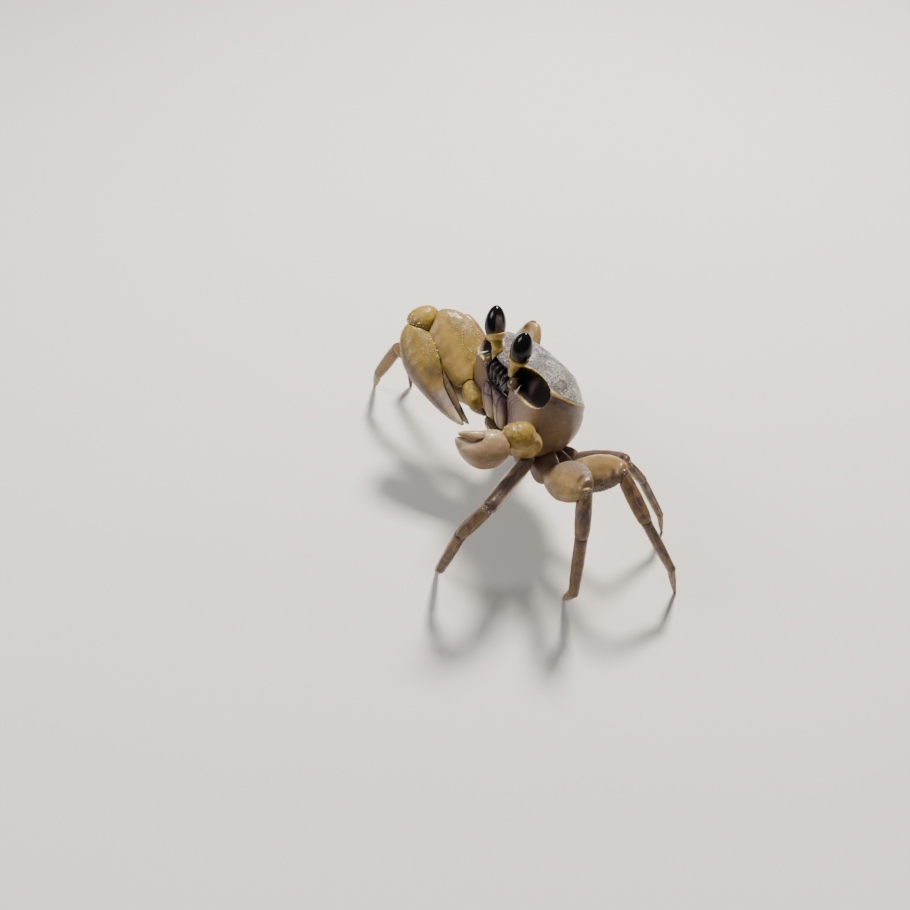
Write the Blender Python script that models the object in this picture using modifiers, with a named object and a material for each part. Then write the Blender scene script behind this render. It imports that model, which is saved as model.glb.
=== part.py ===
"""A life-size ghost crab standing alert on the floor, as separate solid shell pieces.

Metres, +Z up. The crab faces -Y and its left is +X. The body is modelled in its own frame
(X left, Y back, Z dorsal) and pitched up; the limbs are worked out in world space.
"""

import math

import bmesh
import bpy
from mathutils import Euler, Matrix, Vector

MM = 0.001
GAP = 0.16  # between neighbouring pieces, mm

# Driving sizes, mm
WIDTH = 28.0  # across the outer corners of the eye sockets
HALF = WIDTH / 2
BODY_PLACE = (1.54, 4.06, 30.0)  # body frame origin, which centres the whole crab on the floor
BODY_TURN = (-40.0, -9.3, 7.9)  # degrees, about X, Y and Z

# Carapace heights in the body frame, mm
DOME_TOP = 7.0
RIDGE = 3.4
BELLY = -12.8

# Leg segment lengths as fractions of WIDTH, front pair of walking legs first
SEGMENTS = ("merus", "carpus", "propodus", "dactylus")
LENGTHS = {
    2: (0.633, 0.32, 0.41, 0.435),
    3: (0.67, 0.375, 0.505, 0.40),
    4: (0.623, 0.389, 0.49, 0.423),
    5: (0.465, 0.26, 0.41, 0.335),
}
# Half height of each segment at its widest, mm
DEPTHS = {
    2: (2.7, 1.8, 1.6, 1.15),
    3: (4.5, 2.05, 1.55, 1.15),
    4: (4.3, 1.8, 1.4, 1.0),
    5: (2.4, 1.25, 1.0, 0.72),
}
# Half thickness of each segment at its widest, mm
BREADTHS = {
    2: (1.9, 1.6, 1.35, 0.95),
    3: (2.2, 1.75, 1.4, 0.95),
    4: (1.9, 1.45, 1.15, 0.8),
    5: (1.3, 1.05, 0.88, 0.6),
}
# Where each left leg leaves the body, in the body frame, mm
HIPS = {2: (8.0, -2.9, -11.0), 3: (9.4, 1.8, -11.2), 4: (9.0, 4.8, -11.0), 5: (7.6, 8.0, -9.6)}
# Bearing and rise in degrees of coxa, merus, carpus and propodus; bearing of the dactylus
POSES = {
    ("left", 2): ((-2, -14), (-45, 12), (-98, -52), (-99, -68), 170),
    ("left", 3): ((3, -3), (3, 38), (-19, -70), (-28, -74), 171),
    ("left", 4): ((20, -4), (27, 40), (24, -47), (47, -58), 107),
    ("left", 5): ((39, -2), (39, 29), (77, -55), (64, -63), 120),
    ("right", 2): ((200, -13), (206, -4), (204, 0), (234, -60), 179),
    ("right", 3): ((182, -4), (188, 39), (213, -46), (217, -49), 110),
    ("right", 4): ((160, 0), (137, 43), (192, -56), (184, -64), 180),
    ("right", 5): ((150, 0), (150, 24), (168, -56), (168, -60), 170),
}
SIDES = {"left": 1, "right": -1}

COLOURS = {
    "carapace": (0.42, 0.40, 0.37),
    "underside": (0.55, 0.50, 0.44),
    "claw": (0.62, 0.50, 0.20),
    "leg": (0.55, 0.41, 0.22),
    "shin": (0.36, 0.25, 0.17),
    "eye": (0.02, 0.016, 0.013),
    "stalk": (0.50, 0.45, 0.24),
}

EYE_ROUGHNESS = 0.12
SHELL_ROUGHNESS = 0.5

BODY_ROTATION = Euler([math.radians(angle) for angle in BODY_TURN]).to_matrix().to_4x4()
BODY_MATRIX = Matrix.Translation(BODY_PLACE) @ BODY_ROTATION
DORSAL = BODY_ROTATION.to_3x3() @ Vector((0, 0, 1))


def on_body(x, y, z):
    """World position in mm of a point given in the body frame."""
    return BODY_MATRIX @ Vector((x, y, z))


def heading(bearing, rise):
    """Unit vector from a compass-like bearing (0 is +X, 90 is +Y) and a rise, in degrees."""
    bearing, rise = math.radians(bearing), math.radians(rise)
    flat = math.cos(rise)
    return Vector((flat * math.cos(bearing), flat * math.sin(bearing), math.sin(rise)))


# Scene set-up


def clear_scene():
    for obj in list(bpy.data.objects):
        bpy.data.objects.remove(obj, do_unlink=True)


def new_collection(name, hidden=False):
    collection = bpy.data.collections.new(name)
    collection.hide_render = hidden
    bpy.context.scene.collection.children.link(collection)
    return collection


def make_material(name, colour, roughness):
    material = bpy.data.materials.new(name)
    material.use_nodes = True
    shader = material.node_tree.nodes["Principled BSDF"]
    shader.inputs["Base Color"].default_value = (*colour, 1)
    shader.inputs["Roughness"].default_value = roughness
    shader.inputs["Metallic"].default_value = 0.0
    return material


# Solids from rings of points


def place_solid(name, mesh, start, slot):
    """Adds the mesh to the crab with its own material and its origin at start, in mm."""
    obj = bpy.data.objects.new(name, mesh)
    obj.location = start * MM
    obj.parent = crab_root
    roughness = EYE_ROUGHNESS if slot == "eye" else SHELL_ROUGHNESS
    mesh.materials.append(make_material(f"{name} shell", COLOURS[slot], roughness))
    crab.objects.link(obj)
    return obj


def loft_mesh(name, rings, start):
    """A closed mesh through rings of points in mm, measured from start."""
    built = bmesh.new()
    loops = [[built.verts.new((point - start) * MM) for point in ring] for ring in rings]
    count = len(loops[0])
    for lower, upper in zip(loops, loops[1:]):
        for i in range(count):
            j = (i + 1) % count
            built.faces.new((lower[i], lower[j], upper[j], upper[i]))
    built.faces.new(reversed(loops[0]))
    built.faces.new(loops[-1])
    bmesh.ops.recalc_face_normals(built, faces=built.faces)
    mesh = bpy.data.meshes.new(name)
    built.to_mesh(mesh)
    built.free()
    mesh.shade_smooth()
    return mesh


def oval(centre, high, broad, sides):
    """Points round an oval whose half axes are the vectors high and broad."""
    turns = [2 * math.pi * i / sides for i in range(sides)]
    return [centre + high * math.cos(turn) + broad * math.sin(turn) for turn in turns]


def limb_rings(stations, face, sides, grow=0.0):
    """Rings along stations (point, half height, half thickness).

    face is the direction that the flat side of the limb turns to.
    """
    points = [station[0] for station in stations]
    rings = []
    for i, (point, half_height, half_thick) in enumerate(stations):
        along = (points[min(i + 1, len(points) - 1)] - points[max(i - 1, 0)]).normalized()
        broad = (face - along * face.dot(along)).normalized()
        high = broad.cross(along)
        ends = {0: -grow, len(stations) - 1: grow}
        point = point + along * ends.get(i, 0.0)
        rings.append(oval(point, high * (half_height + grow), broad * (half_thick + grow), sides))
    return rings


def add_cutter(name, rings):
    """A slightly larger copy of a piece, which keeps its neighbour off it."""
    start = rings[0][0]
    obj = bpy.data.objects.new(f"{name}_cutter", loft_mesh(f"{name}_cutter", rings, start))
    obj.location = start * MM
    obj.hide_render = True
    obj.display_type = "WIRE"
    cutters.objects.link(obj)
    return obj


def cut_by(obj, *others):
    for other in others:
        cut = obj.modifiers.new(f"Clear of {other.name}", "BOOLEAN")
        cut.operation = "DIFFERENCE"
        cut.solver = "EXACT"
        cut.object = other


def add_limb(name, stations, face, slot, sides=10, clear_of=()):
    """A limb piece cut clear of its neighbours. Returns its own cutter."""
    rings = limb_rings(stations, face, sides)
    start = stations[0][0]
    obj = place_solid(name, loft_mesh(name, rings, start), start, slot)
    cut_by(obj, *clear_of)
    return add_cutter(name, limb_rings(stations, face, sides, GAP))


def between(start, end, profile, high, broad):
    """Stations from start to end: profile lists (fraction, height share, thickness share)."""
    return [
        (start.lerp(end, fraction), high * height, broad * thick)
        for fraction, height, thick in profile
    ]


# Shares of the half height and half thickness along each leg segment
COXA_PROFILE = (
    (0.0, 0.75, 0.75),
    (0.35, 0.95, 0.95),
    (0.75, 1.0, 1.0),
    (0.95, 0.8, 0.8),
    (1.05, 0.4, 0.4),
)
SLIM_MERUS_PROFILE = (
    (0.0, 0.5, 0.55),
    (0.05, 0.74, 0.82),
    (0.25, 0.94, 0.98),
    (0.5, 1.0, 1.0),
    (0.76, 0.93, 0.96),
    (0.94, 0.78, 0.88),
    (1.02, 0.5, 0.6),
)
BROAD_MERUS_PROFILE = (
    (0.0, 0.25, 0.4),
    (0.03, 0.4, 0.7),
    (0.16, 0.7, 0.92),
    (0.36, 0.94, 1.0),
    (0.58, 1.0, 0.96),
    (0.8, 0.88, 0.92),
    (0.95, 0.65, 0.85),
    (1.02, 0.4, 0.55),
)
CARPUS_PROFILE = (
    (0.0, 0.62, 0.64),
    (0.1, 0.84, 0.86),
    (0.35, 0.95, 0.97),
    (0.65, 1.0, 1.0),
    (0.92, 0.93, 0.95),
    (1.02, 0.66, 0.68),
)
PROPODUS_PROFILE = (
    (0.0, 0.7, 0.72),
    (0.08, 0.94, 0.94),
    (0.3, 1.0, 1.0),
    (0.65, 0.94, 0.93),
    (0.93, 0.84, 0.84),
    (1.02, 0.58, 0.58),
)
DACTYLUS_PROFILE = (
    (0.0, 0.7, 0.7),
    (0.08, 0.96, 0.96),
    (0.3, 1.0, 1.0),
    (0.6, 0.74, 0.74),
    (0.85, 0.45, 0.5),
)
FOOT_FLAT = 0.42  # radius of the flat under each leg tip, mm
COXA_LENGTHS = {2: 4.4, 3: 5.9, 4: 5.9, 5: 4.2}  # mm
SHIN_SIDES = 8
MERUS_SIDES = 10
MERUS_PROFILES = {
    2: SLIM_MERUS_PROFILE,
    3: BROAD_MERUS_PROFILE,
    4: BROAD_MERUS_PROFILE,
    5: SLIM_MERUS_PROFILE,
}


# Carapace

# The left eye socket in the body frame, mm and degrees
ORBIT_CENTRE = (10.0, -12.5, 1.3)
ORBIT_HALF_AXES = (6.2, 4.0, 3.2)
ORBIT_TILT = 12
ORBIT_LEAN = 4

# Half outline in plan from the front round to the back, mm
FRONT = 13.4
BACK = 8.4
OUTLINE = (
    (0.0, -FRONT),
    (2.4, -13.1),
    (4.8, -11.7),
    (10.2, -11.2),
    (14.2, -10.9),
    (14.6, -6.0),
    (14.1, -1.4),
    (12.0, 2.6),
    (8.9, 5.9),
    (4.9, 7.9),
    (0.0, BACK),
)
# Each level: shares of the outline's x and y ahead of the widest part, of its x and y behind it,
# and the heights at the front, sides and back
LEVELS = (
    (0.38, 0.40, 0.36, 0.36, 8.6, DOME_TOP + 0.6, 5.6),
    (0.74, 0.76, 0.66, 0.62, 7.2, DOME_TOP - 0.8, 4.0),
    (0.97, 0.97, 0.93, 0.93, 2.8, RIDGE + 0.4, 1.8),
    (1.0, 1.0, 0.98, 0.98, 0.9, RIDGE, 1.2),
    (1.02, 0.97, 1.08, 1.12, -0.6, 1.6, -0.2),
    (1.02, 0.89, 1.16, 1.32, -3.6, -2.8, -3.2),
    (1.0, 0.58, 1.08, 1.25, -8.0, -8.6, -7.6),
    (0.80, 0.33, 0.84, 0.95, -11.4, -12.2, -10.8),
    (0.34, 0.14, 0.34, 0.45, BELLY, BELLY, -11.4),
)


def carapace_ring(level, grow=0.0):
    """One closed ring of body frame points round the carapace."""
    *shares, z_front, z_side, z_back = level
    half = []
    for x, y in OUTLINE:
        middle = 1 - (x / HALF) ** 2 if x < HALF else 0.0
        front = max(-y / FRONT, 0.0) ** 3 * middle
        back = max(y / BACK, 0.0) ** 2
        z = z_side + (z_front - z_side) * front + (z_back - z_side) * back
        across, along = shares[:2] if y < 0 else shares[2:]
        flat = Vector((x * across, y * along))
        if flat.length > 0:
            flat += flat.normalized() * grow
        half.append((flat.x, flat.y, z))
    other = [(-x, y, z) for x, y, z in half[-2:0:-1]]
    return half + other


def carapace_rings(grow=0.0):
    rings = [carapace_ring(level, grow) for level in LEVELS]
    shifts = {0: grow, len(rings) - 1: -grow}
    return [
        [on_body(x, y, z + shifts.get(i, 0.0)) for x, y, z in ring] for i, ring in enumerate(rings)
    ]


def smooth_cage(obj):
    soft = obj.modifiers.new("Soft form", "SUBSURF")
    soft.levels = soft.render_levels = 1


def add_orbit_cutter(side):
    """An oval hollow under the front edge, for the folded eyestalk."""
    sign = SIDES[side]
    bpy.ops.mesh.primitive_uv_sphere_add(segments=16, ring_count=9, radius=MM)
    obj = bpy.context.object
    obj.name = f"orbit_{side}_cutter"
    x, y, z = ORBIT_CENTRE
    tilt = Euler((math.radians(ORBIT_TILT), math.radians(sign * ORBIT_LEAN), 0))
    size = Matrix.Diagonal((*ORBIT_HALF_AXES, 1))
    spot = Matrix.Translation(on_body(sign * x, y, z) * MM)
    obj.matrix_world = spot @ BODY_ROTATION @ tilt.to_matrix().to_4x4() @ size
    for collection in list(obj.users_collection):
        collection.objects.unlink(obj)
    cutters.objects.link(obj)
    obj.hide_render = True
    obj.display_type = "WIRE"
    return obj


def add_carapace():
    start = on_body(0, 0, 0)
    obj = place_solid("carapace", loft_mesh("carapace", carapace_rings(), start), start, "carapace")
    smooth_cage(obj)
    cut_by(obj, add_orbit_cutter("left"), add_orbit_cutter("right"))
    cutter = add_cutter("carapace", carapace_rings(0.5 * GAP))
    smooth_cage(cutter)
    return cutter


# Rings of a domed plate: share of its outline and share of its thickness
PLATE_RINGS = ((1.0, -1.0), (1.0, 0.0), (0.8, 0.55), (0.4, 0.9))


def body_plate(name, outline, centre, normal, thick, clear_of):
    """A thin domed plate on the body: outline points (right, up) in the plane across normal."""
    normal = Vector(normal).normalized()
    right = Vector((1, 0, 0))
    up = normal.cross(right)
    rings = []
    for share, lift in PLATE_RINGS:
        middle = Vector(centre) + normal * lift * thick
        flat = [middle + (right * across + up * along) * share for across, along in outline]
        rings.append([on_body(*point) for point in flat])
    start = on_body(*centre)
    obj = place_solid(name, loft_mesh(name, rings, start), start, "underside")
    cut_by(obj, *clear_of)
    wider = [[point + (point - start).normalized() * GAP for point in ring] for ring in rings]
    return add_cutter(name, wider)


# Outlines in mm, (right, up), in the plane of each plate
MAXILLIPED = (
    (-2.1, 4.2),
    (0.2, 4.6),
    (2.2, 3.9),
    (2.7, 0.5),
    (1.9, -3.2),
    (0.2, -4.6),
    (-1.7, -4.4),
    (-2.3, 0.0),
)
ABDOMEN = (
    (0.0, 7.8),
    (-2.6, 7.2),
    (-3.0, 2.0),
    (-1.7, -4.0),
    (0.0, -5.8),
    (1.7, -4.0),
    (3.0, 2.0),
    (2.6, 7.2),
)
STERNUM_HALF_WIDTH = 8.6
STERNUM_HALF_LENGTH = 7.6
STERNUM_SIDES = 14


def add_mouth_plates(carapace_cutter):
    """The pair of outer mouthparts that close like doors over the mouth."""
    for side, sign in SIDES.items():
        outline = [(sign * x, y) for x, y in MAXILLIPED]
        if sign < 0:
            outline.reverse()
        centre = (sign * 2.55, -8.1, -7.9)
        normal = (sign * 0.12, -0.76, -0.64)
        body_plate(f"maxilliped_{side}", outline, centre, normal, 0.9, (carapace_cutter,))


def add_underside(carapace_cutter):
    """The breastplate, and the narrow tail folded forward under it. Returns the plate's cutter."""
    turns = [2 * math.pi * i / STERNUM_SIDES for i in range(STERNUM_SIDES)]
    outline = [
        (STERNUM_HALF_WIDTH * math.cos(turn), STERNUM_HALF_LENGTH * math.sin(turn))
        for turn in turns
    ]
    down = (0, 0.06, -1)
    plate = body_plate("sternum", outline, (0, 2.0, -13.1), down, 1.1, (carapace_cutter,))
    body_plate("abdomen", ABDOMEN, (0, 3.4, -14.3), down, 0.8, (carapace_cutter, plate))
    return plate


# Eyes

# Left eyestalk in the body frame: ((x, y, z), half height, half thickness), mm
EYESTALK = (
    ((3.5, -11.0, 1.2), 1.7, 1.6),
    ((3.7, -12.2, 2.4), 1.45, 1.4),
    ((4.2, -13.4, 4.0), 1.2, 1.15),
    ((4.7, -14.3, 6.0), 1.0, 0.95),
    ((4.9, -15.0, 8.0), 0.75, 0.7),
    ((4.9, -15.4, 9.2), 0.3, 0.3),
)
CORNEA_ENDS = ((5.2, -13.3, 3.6), (6.0, -16.3, 10.2))  # lowest and highest points, mm
CORNEA_RADIUS = 2.1
CORNEA_RINGS = 7
EYE_LEAN = {"left": 0.0, "right": 0.18}  # outward, mm per mm of height
CORNEA_TURNS = (7, 173)  # degrees round the cornea's long section, from one end to the other


def add_eye(side, carapace_cutter):
    """A raised stalk from the front edge with a long glossy cornea on its outer face."""
    sign = SIDES[side]
    face = BODY_ROTATION.to_3x3() @ Vector((sign, 0, 0))
    root = EYESTALK[0][0][2]

    def leant(x, y, z):
        return Vector((sign * (x + EYE_LEAN[side] * (z - root)), y, z))

    stations = [(on_body(*leant(*point)), high, broad) for point, high, broad in EYESTALK]
    stalk = add_limb(f"eyestalk_{side}", stations, face, "stalk", 8, (carapace_cutter,))
    low, high = (leant(*point) for point in CORNEA_ENDS)
    first, last = CORNEA_TURNS
    globe = []
    for i in range(CORNEA_RINGS):
        turn = math.radians(first + (last - first) * i / (CORNEA_RINGS - 1))
        centre = low.lerp(high, 0.5 - 0.5 * math.cos(turn))
        radius = CORNEA_RADIUS * math.sin(turn)
        globe.append((on_body(*centre), radius, radius))
    add_limb(f"eye_{side}", globe, face, "eye", 12, (stalk, carapace_cutter))


# Claws


def add_claw(side, face, pieces, body_cutters):
    """The five pieces of a claw leg, each kept clear of those before. Returns the first one's cutter."""
    face = BODY_ROTATION.to_3x3() @ Vector(face).normalized()
    made = list(body_cutters)
    for name, path in pieces:
        sides = CLAW_SIDES.get(name, 8)
        stations = [(on_body(*point), high, broad) for point, high, broad in path]
        made.append(add_limb(f"claw_{name}_{side}", stations, face, "claw", sides, made[-3:]))
    return made[len(body_cutters)]


# Each claw's pieces in the body frame: ((x, y, z), half height, half thickness), mm
LARGE_CLAW = (
    ("ischium", (
        ((-6.2, -6.6, -10.6), 2.3, 2.1),
        ((-9.4, -6.6, -10.2), 2.4, 2.2),
        ((-12.0, -6.5, -9.4), 2.2, 2.0),
        ((-13.2, -6.6, -9.0), 1.2, 1.1),
    )),
    ("merus", (
        ((-12.4, -6.2, -9.3), 1.4, 1.2),
        ((-13.1, -6.1, -8.8), 3.4, 1.9),
        ((-15.9, -7.1, -6.8), 5.4, 2.4),
        ((-19.6, -9.2, -4.5), 6.3, 2.5),
        ((-23.1, -11.4, -2.8), 6.0, 2.4),
        ((-25.8, -13.3, -2.1), 4.6, 2.2),
        ((-27.4, -14.4, -1.8), 2.4, 1.3),
    )),
    ("carpus", (
        ((-26.5, -14.0, -1.7), 2.2, 1.8),
        ((-27.2, -14.8, -2.4), 3.3, 2.9),
        ((-27.7, -16.0, -3.8), 3.5, 3.1),
        ((-27.7, -17.0, -5.3), 3.3, 3.0),
        ((-27.6, -17.5, -6.5), 2.2, 2.0),
    )),
    ("manus", (
        ((-27.6, -17.4, -5.2), 1.9, 1.6),
        ((-26.6, -17.2, -6.9), 3.4, 2.6),
        ((-24.0, -16.0, -9.1), 4.5, 3.0),
        ((-20.8, -14.5, -11.4), 4.6, 2.9),
        ((-17.8, -13.0, -13.4), 3.4, 2.4),
        ((-15.0, -11.4, -14.9), 2.3, 1.8),
        ((-11.6, -9.2, -16.0), 1.6, 1.3),
        ((-8.8, -7.4, -16.6), 0.9, 0.8),
        ((-7.0, -6.3, -16.6), 0.3, 0.3),
    )),
    ("dactylus", (
        ((-20.2, -12.2, -9.4), 1.3, 1.2),
        ((-18.4, -11.3, -10.7), 1.9, 1.6),
        ((-15.5, -9.6, -12.9), 1.8, 1.4),
        ((-12.0, -7.6, -14.6), 1.4, 1.1),
        ((-8.8, -5.8, -15.7), 0.8, 0.7),
        ((-7.0, -5.1, -16.0), 0.25, 0.25),
    )),
)
SMALL_CLAW = (
    ("ischium", (
        ((6.2, -6.6, -10.6), 2.0, 1.9),
        ((8.2, -6.2, -11.2), 2.3, 2.1),
        ((10.4, -5.8, -11.6), 2.1, 1.9),
        ((11.4, -5.9, -11.4), 1.1, 1.0),
    )),
    ("merus", (
        ((10.9, -5.8, -11.4), 1.2, 1.1),
        ((11.8, -6.3, -10.8), 2.4, 1.8),
        ((14.0, -7.6, -8.6), 3.4, 2.4),
        ((16.2, -9.2, -6.6), 3.3, 2.4),
        ((17.6, -10.4, -5.4), 1.5, 1.2),
    )),
    ("carpus", (
        ((17.4, -10.4, -5.6), 1.7, 1.5),
        ((17.5, -11.6, -5.6), 2.8, 2.4),
        ((17.3, -13.4, -6.2), 3.0, 2.7),
        ((17.3, -14.8, -7.4), 2.6, 2.3),
        ((17.4, -15.6, -8.4), 1.4, 1.2),
    )),
    ("manus", (
        ((17.4, -15.2, -7.8), 1.6, 1.4),
        ((17.5, -16.3, -9.2), 3.2, 2.4),
        ((17.6, -17.9, -11.2), 4.1, 2.7),
        ((17.2, -19.8, -12.6), 3.6, 2.2),
        ((16.4, -21.6, -13.0), 2.2, 1.5),
        ((15.2, -23.4, -12.6), 1.0, 0.8),
        ((14.6, -24.0, -12.2), 0.3, 0.3),
    )),
    ("dactylus", (
        ((16.9, -19.2, -9.6), 1.0, 0.9),
        ((16.7, -20.2, -9.8), 1.5, 1.2),
        ((16.0, -21.9, -10.4), 1.3, 1.0),
        ((15.0, -23.6, -11.0), 0.7, 0.6),
        ((14.5, -24.3, -11.3), 0.25, 0.25),
    )),
)

CLAW_SIDES = {"manus": 12, "merus": 10, "carpus": 10}
# The direction that the flat of each claw turns to, in the body frame
LARGE_CLAW_FACE = (0.62, -0.7, 0.35)
SMALL_CLAW_FACE = (0.75, -0.6, 0.3)


# Walking legs


def add_foot(name, heel, flat_centre, high, broad, face, clear_of):
    """The pointed last segment, from its joint down to a small flat on the floor."""
    rings = limb_rings(between(heel, flat_centre, DACTYLUS_PROFILE, high, broad), face, SHIN_SIDES)
    along = (flat_centre - heel).normalized()
    side = (face - along * face.dot(along)).normalized()
    ahead = side.cross(along)
    flat = oval(flat_centre, ahead * FOOT_FLAT, side * FOOT_FLAT, SHIN_SIDES)
    rings.append([Vector((point.x, point.y, 0.0)) for point in flat])
    obj = place_solid(name, loft_mesh(name, rings, heel), heel, "shin")
    cut_by(obj, *clear_of)


def add_leg(side, pair, clear_of):
    """The five pieces of a walking leg, down to its flat on the floor. Returns the coxa's cutter."""
    sign = SIDES[side]
    x, y, z = HIPS[pair]
    lengths = [share * WIDTH for share in LENGTHS[pair]]
    coxa_pose, merus_pose, carpus_pose, propodus_pose, foot_bearing = POSES[side, pair]
    hip = on_body(sign * x, y, z)
    root = hip + heading(*coxa_pose) * COXA_LENGTHS[pair]
    knee = root + heading(*merus_pose) * lengths[0]
    wrist = knee + heading(*carpus_pose) * lengths[1]
    heel = wrist + heading(*propodus_pose) * lengths[2]
    reach = math.sqrt(max(lengths[3] ** 2 - heel.z**2, 0.0))
    flat_centre = heel + heading(foot_bearing, 0) * reach
    flat_centre.z = 0.0
    face = DORSAL.cross(heading(*merus_pose)).normalized()
    depths, breadths = DEPTHS[pair], BREADTHS[pair]
    name = f"leg{pair}_{{}}_{side}"
    thick = (0.62 * depths[0] + 0.6, breadths[0])
    coxa = between(hip, root, COXA_PROFILE, *thick)
    coxa_cutter = add_limb(name.format("coxa"), coxa, face, "underside", SHIN_SIDES, clear_of)
    merus = between(root, knee, MERUS_PROFILES[pair], depths[0], breadths[0])
    cutter = add_limb(name.format("merus"), merus, face, "leg", MERUS_SIDES, (coxa_cutter,))
    carpus = between(knee, wrist, CARPUS_PROFILE, depths[1], breadths[1])
    cutter = add_limb(name.format("carpus"), carpus, face, "shin", SHIN_SIDES, (cutter,))
    propodus = between(wrist, heel, PROPODUS_PROFILE, depths[2], breadths[2])
    cutter = add_limb(name.format("propodus"), propodus, face, "shin", SHIN_SIDES, (cutter,))
    add_foot(name.format("dactylus"), heel, flat_centre, depths[3], breadths[3], face, (cutter,))
    return coxa_cutter


def main():
    carapace_cutter = add_carapace()
    add_mouth_plates(carapace_cutter)
    sternum_cutter = add_underside(carapace_cutter)
    body_cutters = (carapace_cutter, sternum_cutter)
    for side in SIDES:
        add_eye(side, carapace_cutter)
    claw_roots = {
        "right": add_claw("right", LARGE_CLAW_FACE, LARGE_CLAW, body_cutters),
        "left": add_claw("left", SMALL_CLAW_FACE, SMALL_CLAW, body_cutters),
    }
    for side in SIDES:
        beside = (*body_cutters, claw_roots[side])
        for pair in LENGTHS:
            beside = (*body_cutters, add_leg(side, pair, beside))


clear_scene()
crab = new_collection("ghost crab")
cutters = new_collection("cutters", hidden=True)
crab_root = bpy.data.objects.new("crab_root", None)
crab.objects.link(crab_root)
main()
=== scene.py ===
"""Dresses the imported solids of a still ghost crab: granular shell, glossy eyes, claws and legs."""

import math
from contextlib import contextmanager

import bpy
import numpy as np
from bpy.props import FloatProperty, FloatVectorProperty, IntProperty, PointerProperty
from bpy.types import NodeSocket, Operator, Panel, PropertyGroup
from mathutils import Euler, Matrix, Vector


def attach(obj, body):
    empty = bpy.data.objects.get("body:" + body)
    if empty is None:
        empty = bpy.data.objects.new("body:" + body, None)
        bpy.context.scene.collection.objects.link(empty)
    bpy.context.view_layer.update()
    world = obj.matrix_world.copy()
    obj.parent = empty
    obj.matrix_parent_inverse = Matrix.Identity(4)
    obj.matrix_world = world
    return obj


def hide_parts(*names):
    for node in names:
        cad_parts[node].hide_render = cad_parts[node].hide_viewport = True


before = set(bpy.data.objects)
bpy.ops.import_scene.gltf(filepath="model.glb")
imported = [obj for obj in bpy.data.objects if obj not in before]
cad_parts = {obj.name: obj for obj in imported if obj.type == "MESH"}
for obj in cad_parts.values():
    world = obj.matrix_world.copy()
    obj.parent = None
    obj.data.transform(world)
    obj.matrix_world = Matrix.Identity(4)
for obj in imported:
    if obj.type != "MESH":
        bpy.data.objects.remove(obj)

bl_info = {
    "name": "Ghost crab",
    "version": (1, 0, 0),
    "blender": (4, 5, 0),
    "location": "3D Viewport > Sidebar > Ghost crab",
    "description": "Gives the solids of a still ghost crab their shell, eyes, bristles and colours",
    "category": "Object",
}

MM = 0.001
WELD = 2e-6  # corners nearer than this are one corner, m
SIDES = {"left": 1, "right": -1}
LEGS = (2, 3, 4, 5)
SLIM_LEGS = (2, 5)
LEG_PIECES = ("coxa", "merus", "carpus", "propodus", "dactylus")
SMALL_CLAW = 0.75  # size of the small claw's teeth and beads, as a share of the large one's
CLAW_PIECES = ("ischium", "merus", "carpus", "manus", "dactylus")
SOCKET = (10.0, -12.5, 1.3)  # middle of the left eye socket in the body's own axes, mm
SOCKET_HALF = (6.2, 4.0, 3.2)
SOCKET_TURN = (12, 4)  # how each socket is pitched and rolled, degrees
EDGE_SIDE, EDGE_FRONT, EDGE_BACK = 3.4, 0.9, 1.2  # height of the shell's edge, mm
CLEAR_OF_FLOOR = 0.1  # mm
CUP_EDGE, CUP_WALL = -0.60, 0.14  # where the cup ends on a ball of 1 mm, and how thick it is
FLOOR_SIZE, SENSOR, NEAREST_SEEN = 6.0, 36.0, 0.01  # m, mm, m


# Settings


def tint(name, description, *default):
    """A colour that the maker can change."""
    return FloatVectorProperty(name=name, description=description, subtype="COLOR", default=default)


def spot(name, description, *default):
    """A place that the maker can move."""
    return FloatVectorProperty(
        name=name, description=description, subtype="TRANSLATION", unit="LENGTH", default=default
    )


def extent(name, description, default, least=0.0):
    """A length that the maker can change."""
    return FloatProperty(
        name=name, description=description, unit="LENGTH", default=default, min=least
    )


def amount(name, description, default):
    """A plain number that the maker can change."""
    return FloatProperty(name=name, description=description, default=default)


class CrabBody(PropertyGroup):
    place: spot("Body place", "Where the middle of the body is", 0.00154, 0.00406, 0.030)
    turn: FloatVectorProperty(
        name="Body turn",
        description="How the body is pitched, tipped and turned",
        default=[math.radians(angle) for angle in (-40.0, -9.3, 7.9)],
        subtype="EULER",
        unit="ROTATION",
    )
    shell_grain: extent("Shell mesh", "Length of one face of the fine shell", 0.00021, 0.0001)
    limb_grain: extent("Limb mesh", "Length of one face of a fine limb", 0.00014, 0.0001)
    granule_gap: extent("Granule gap", "Distance between granules on the back", 0.00060)


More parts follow.
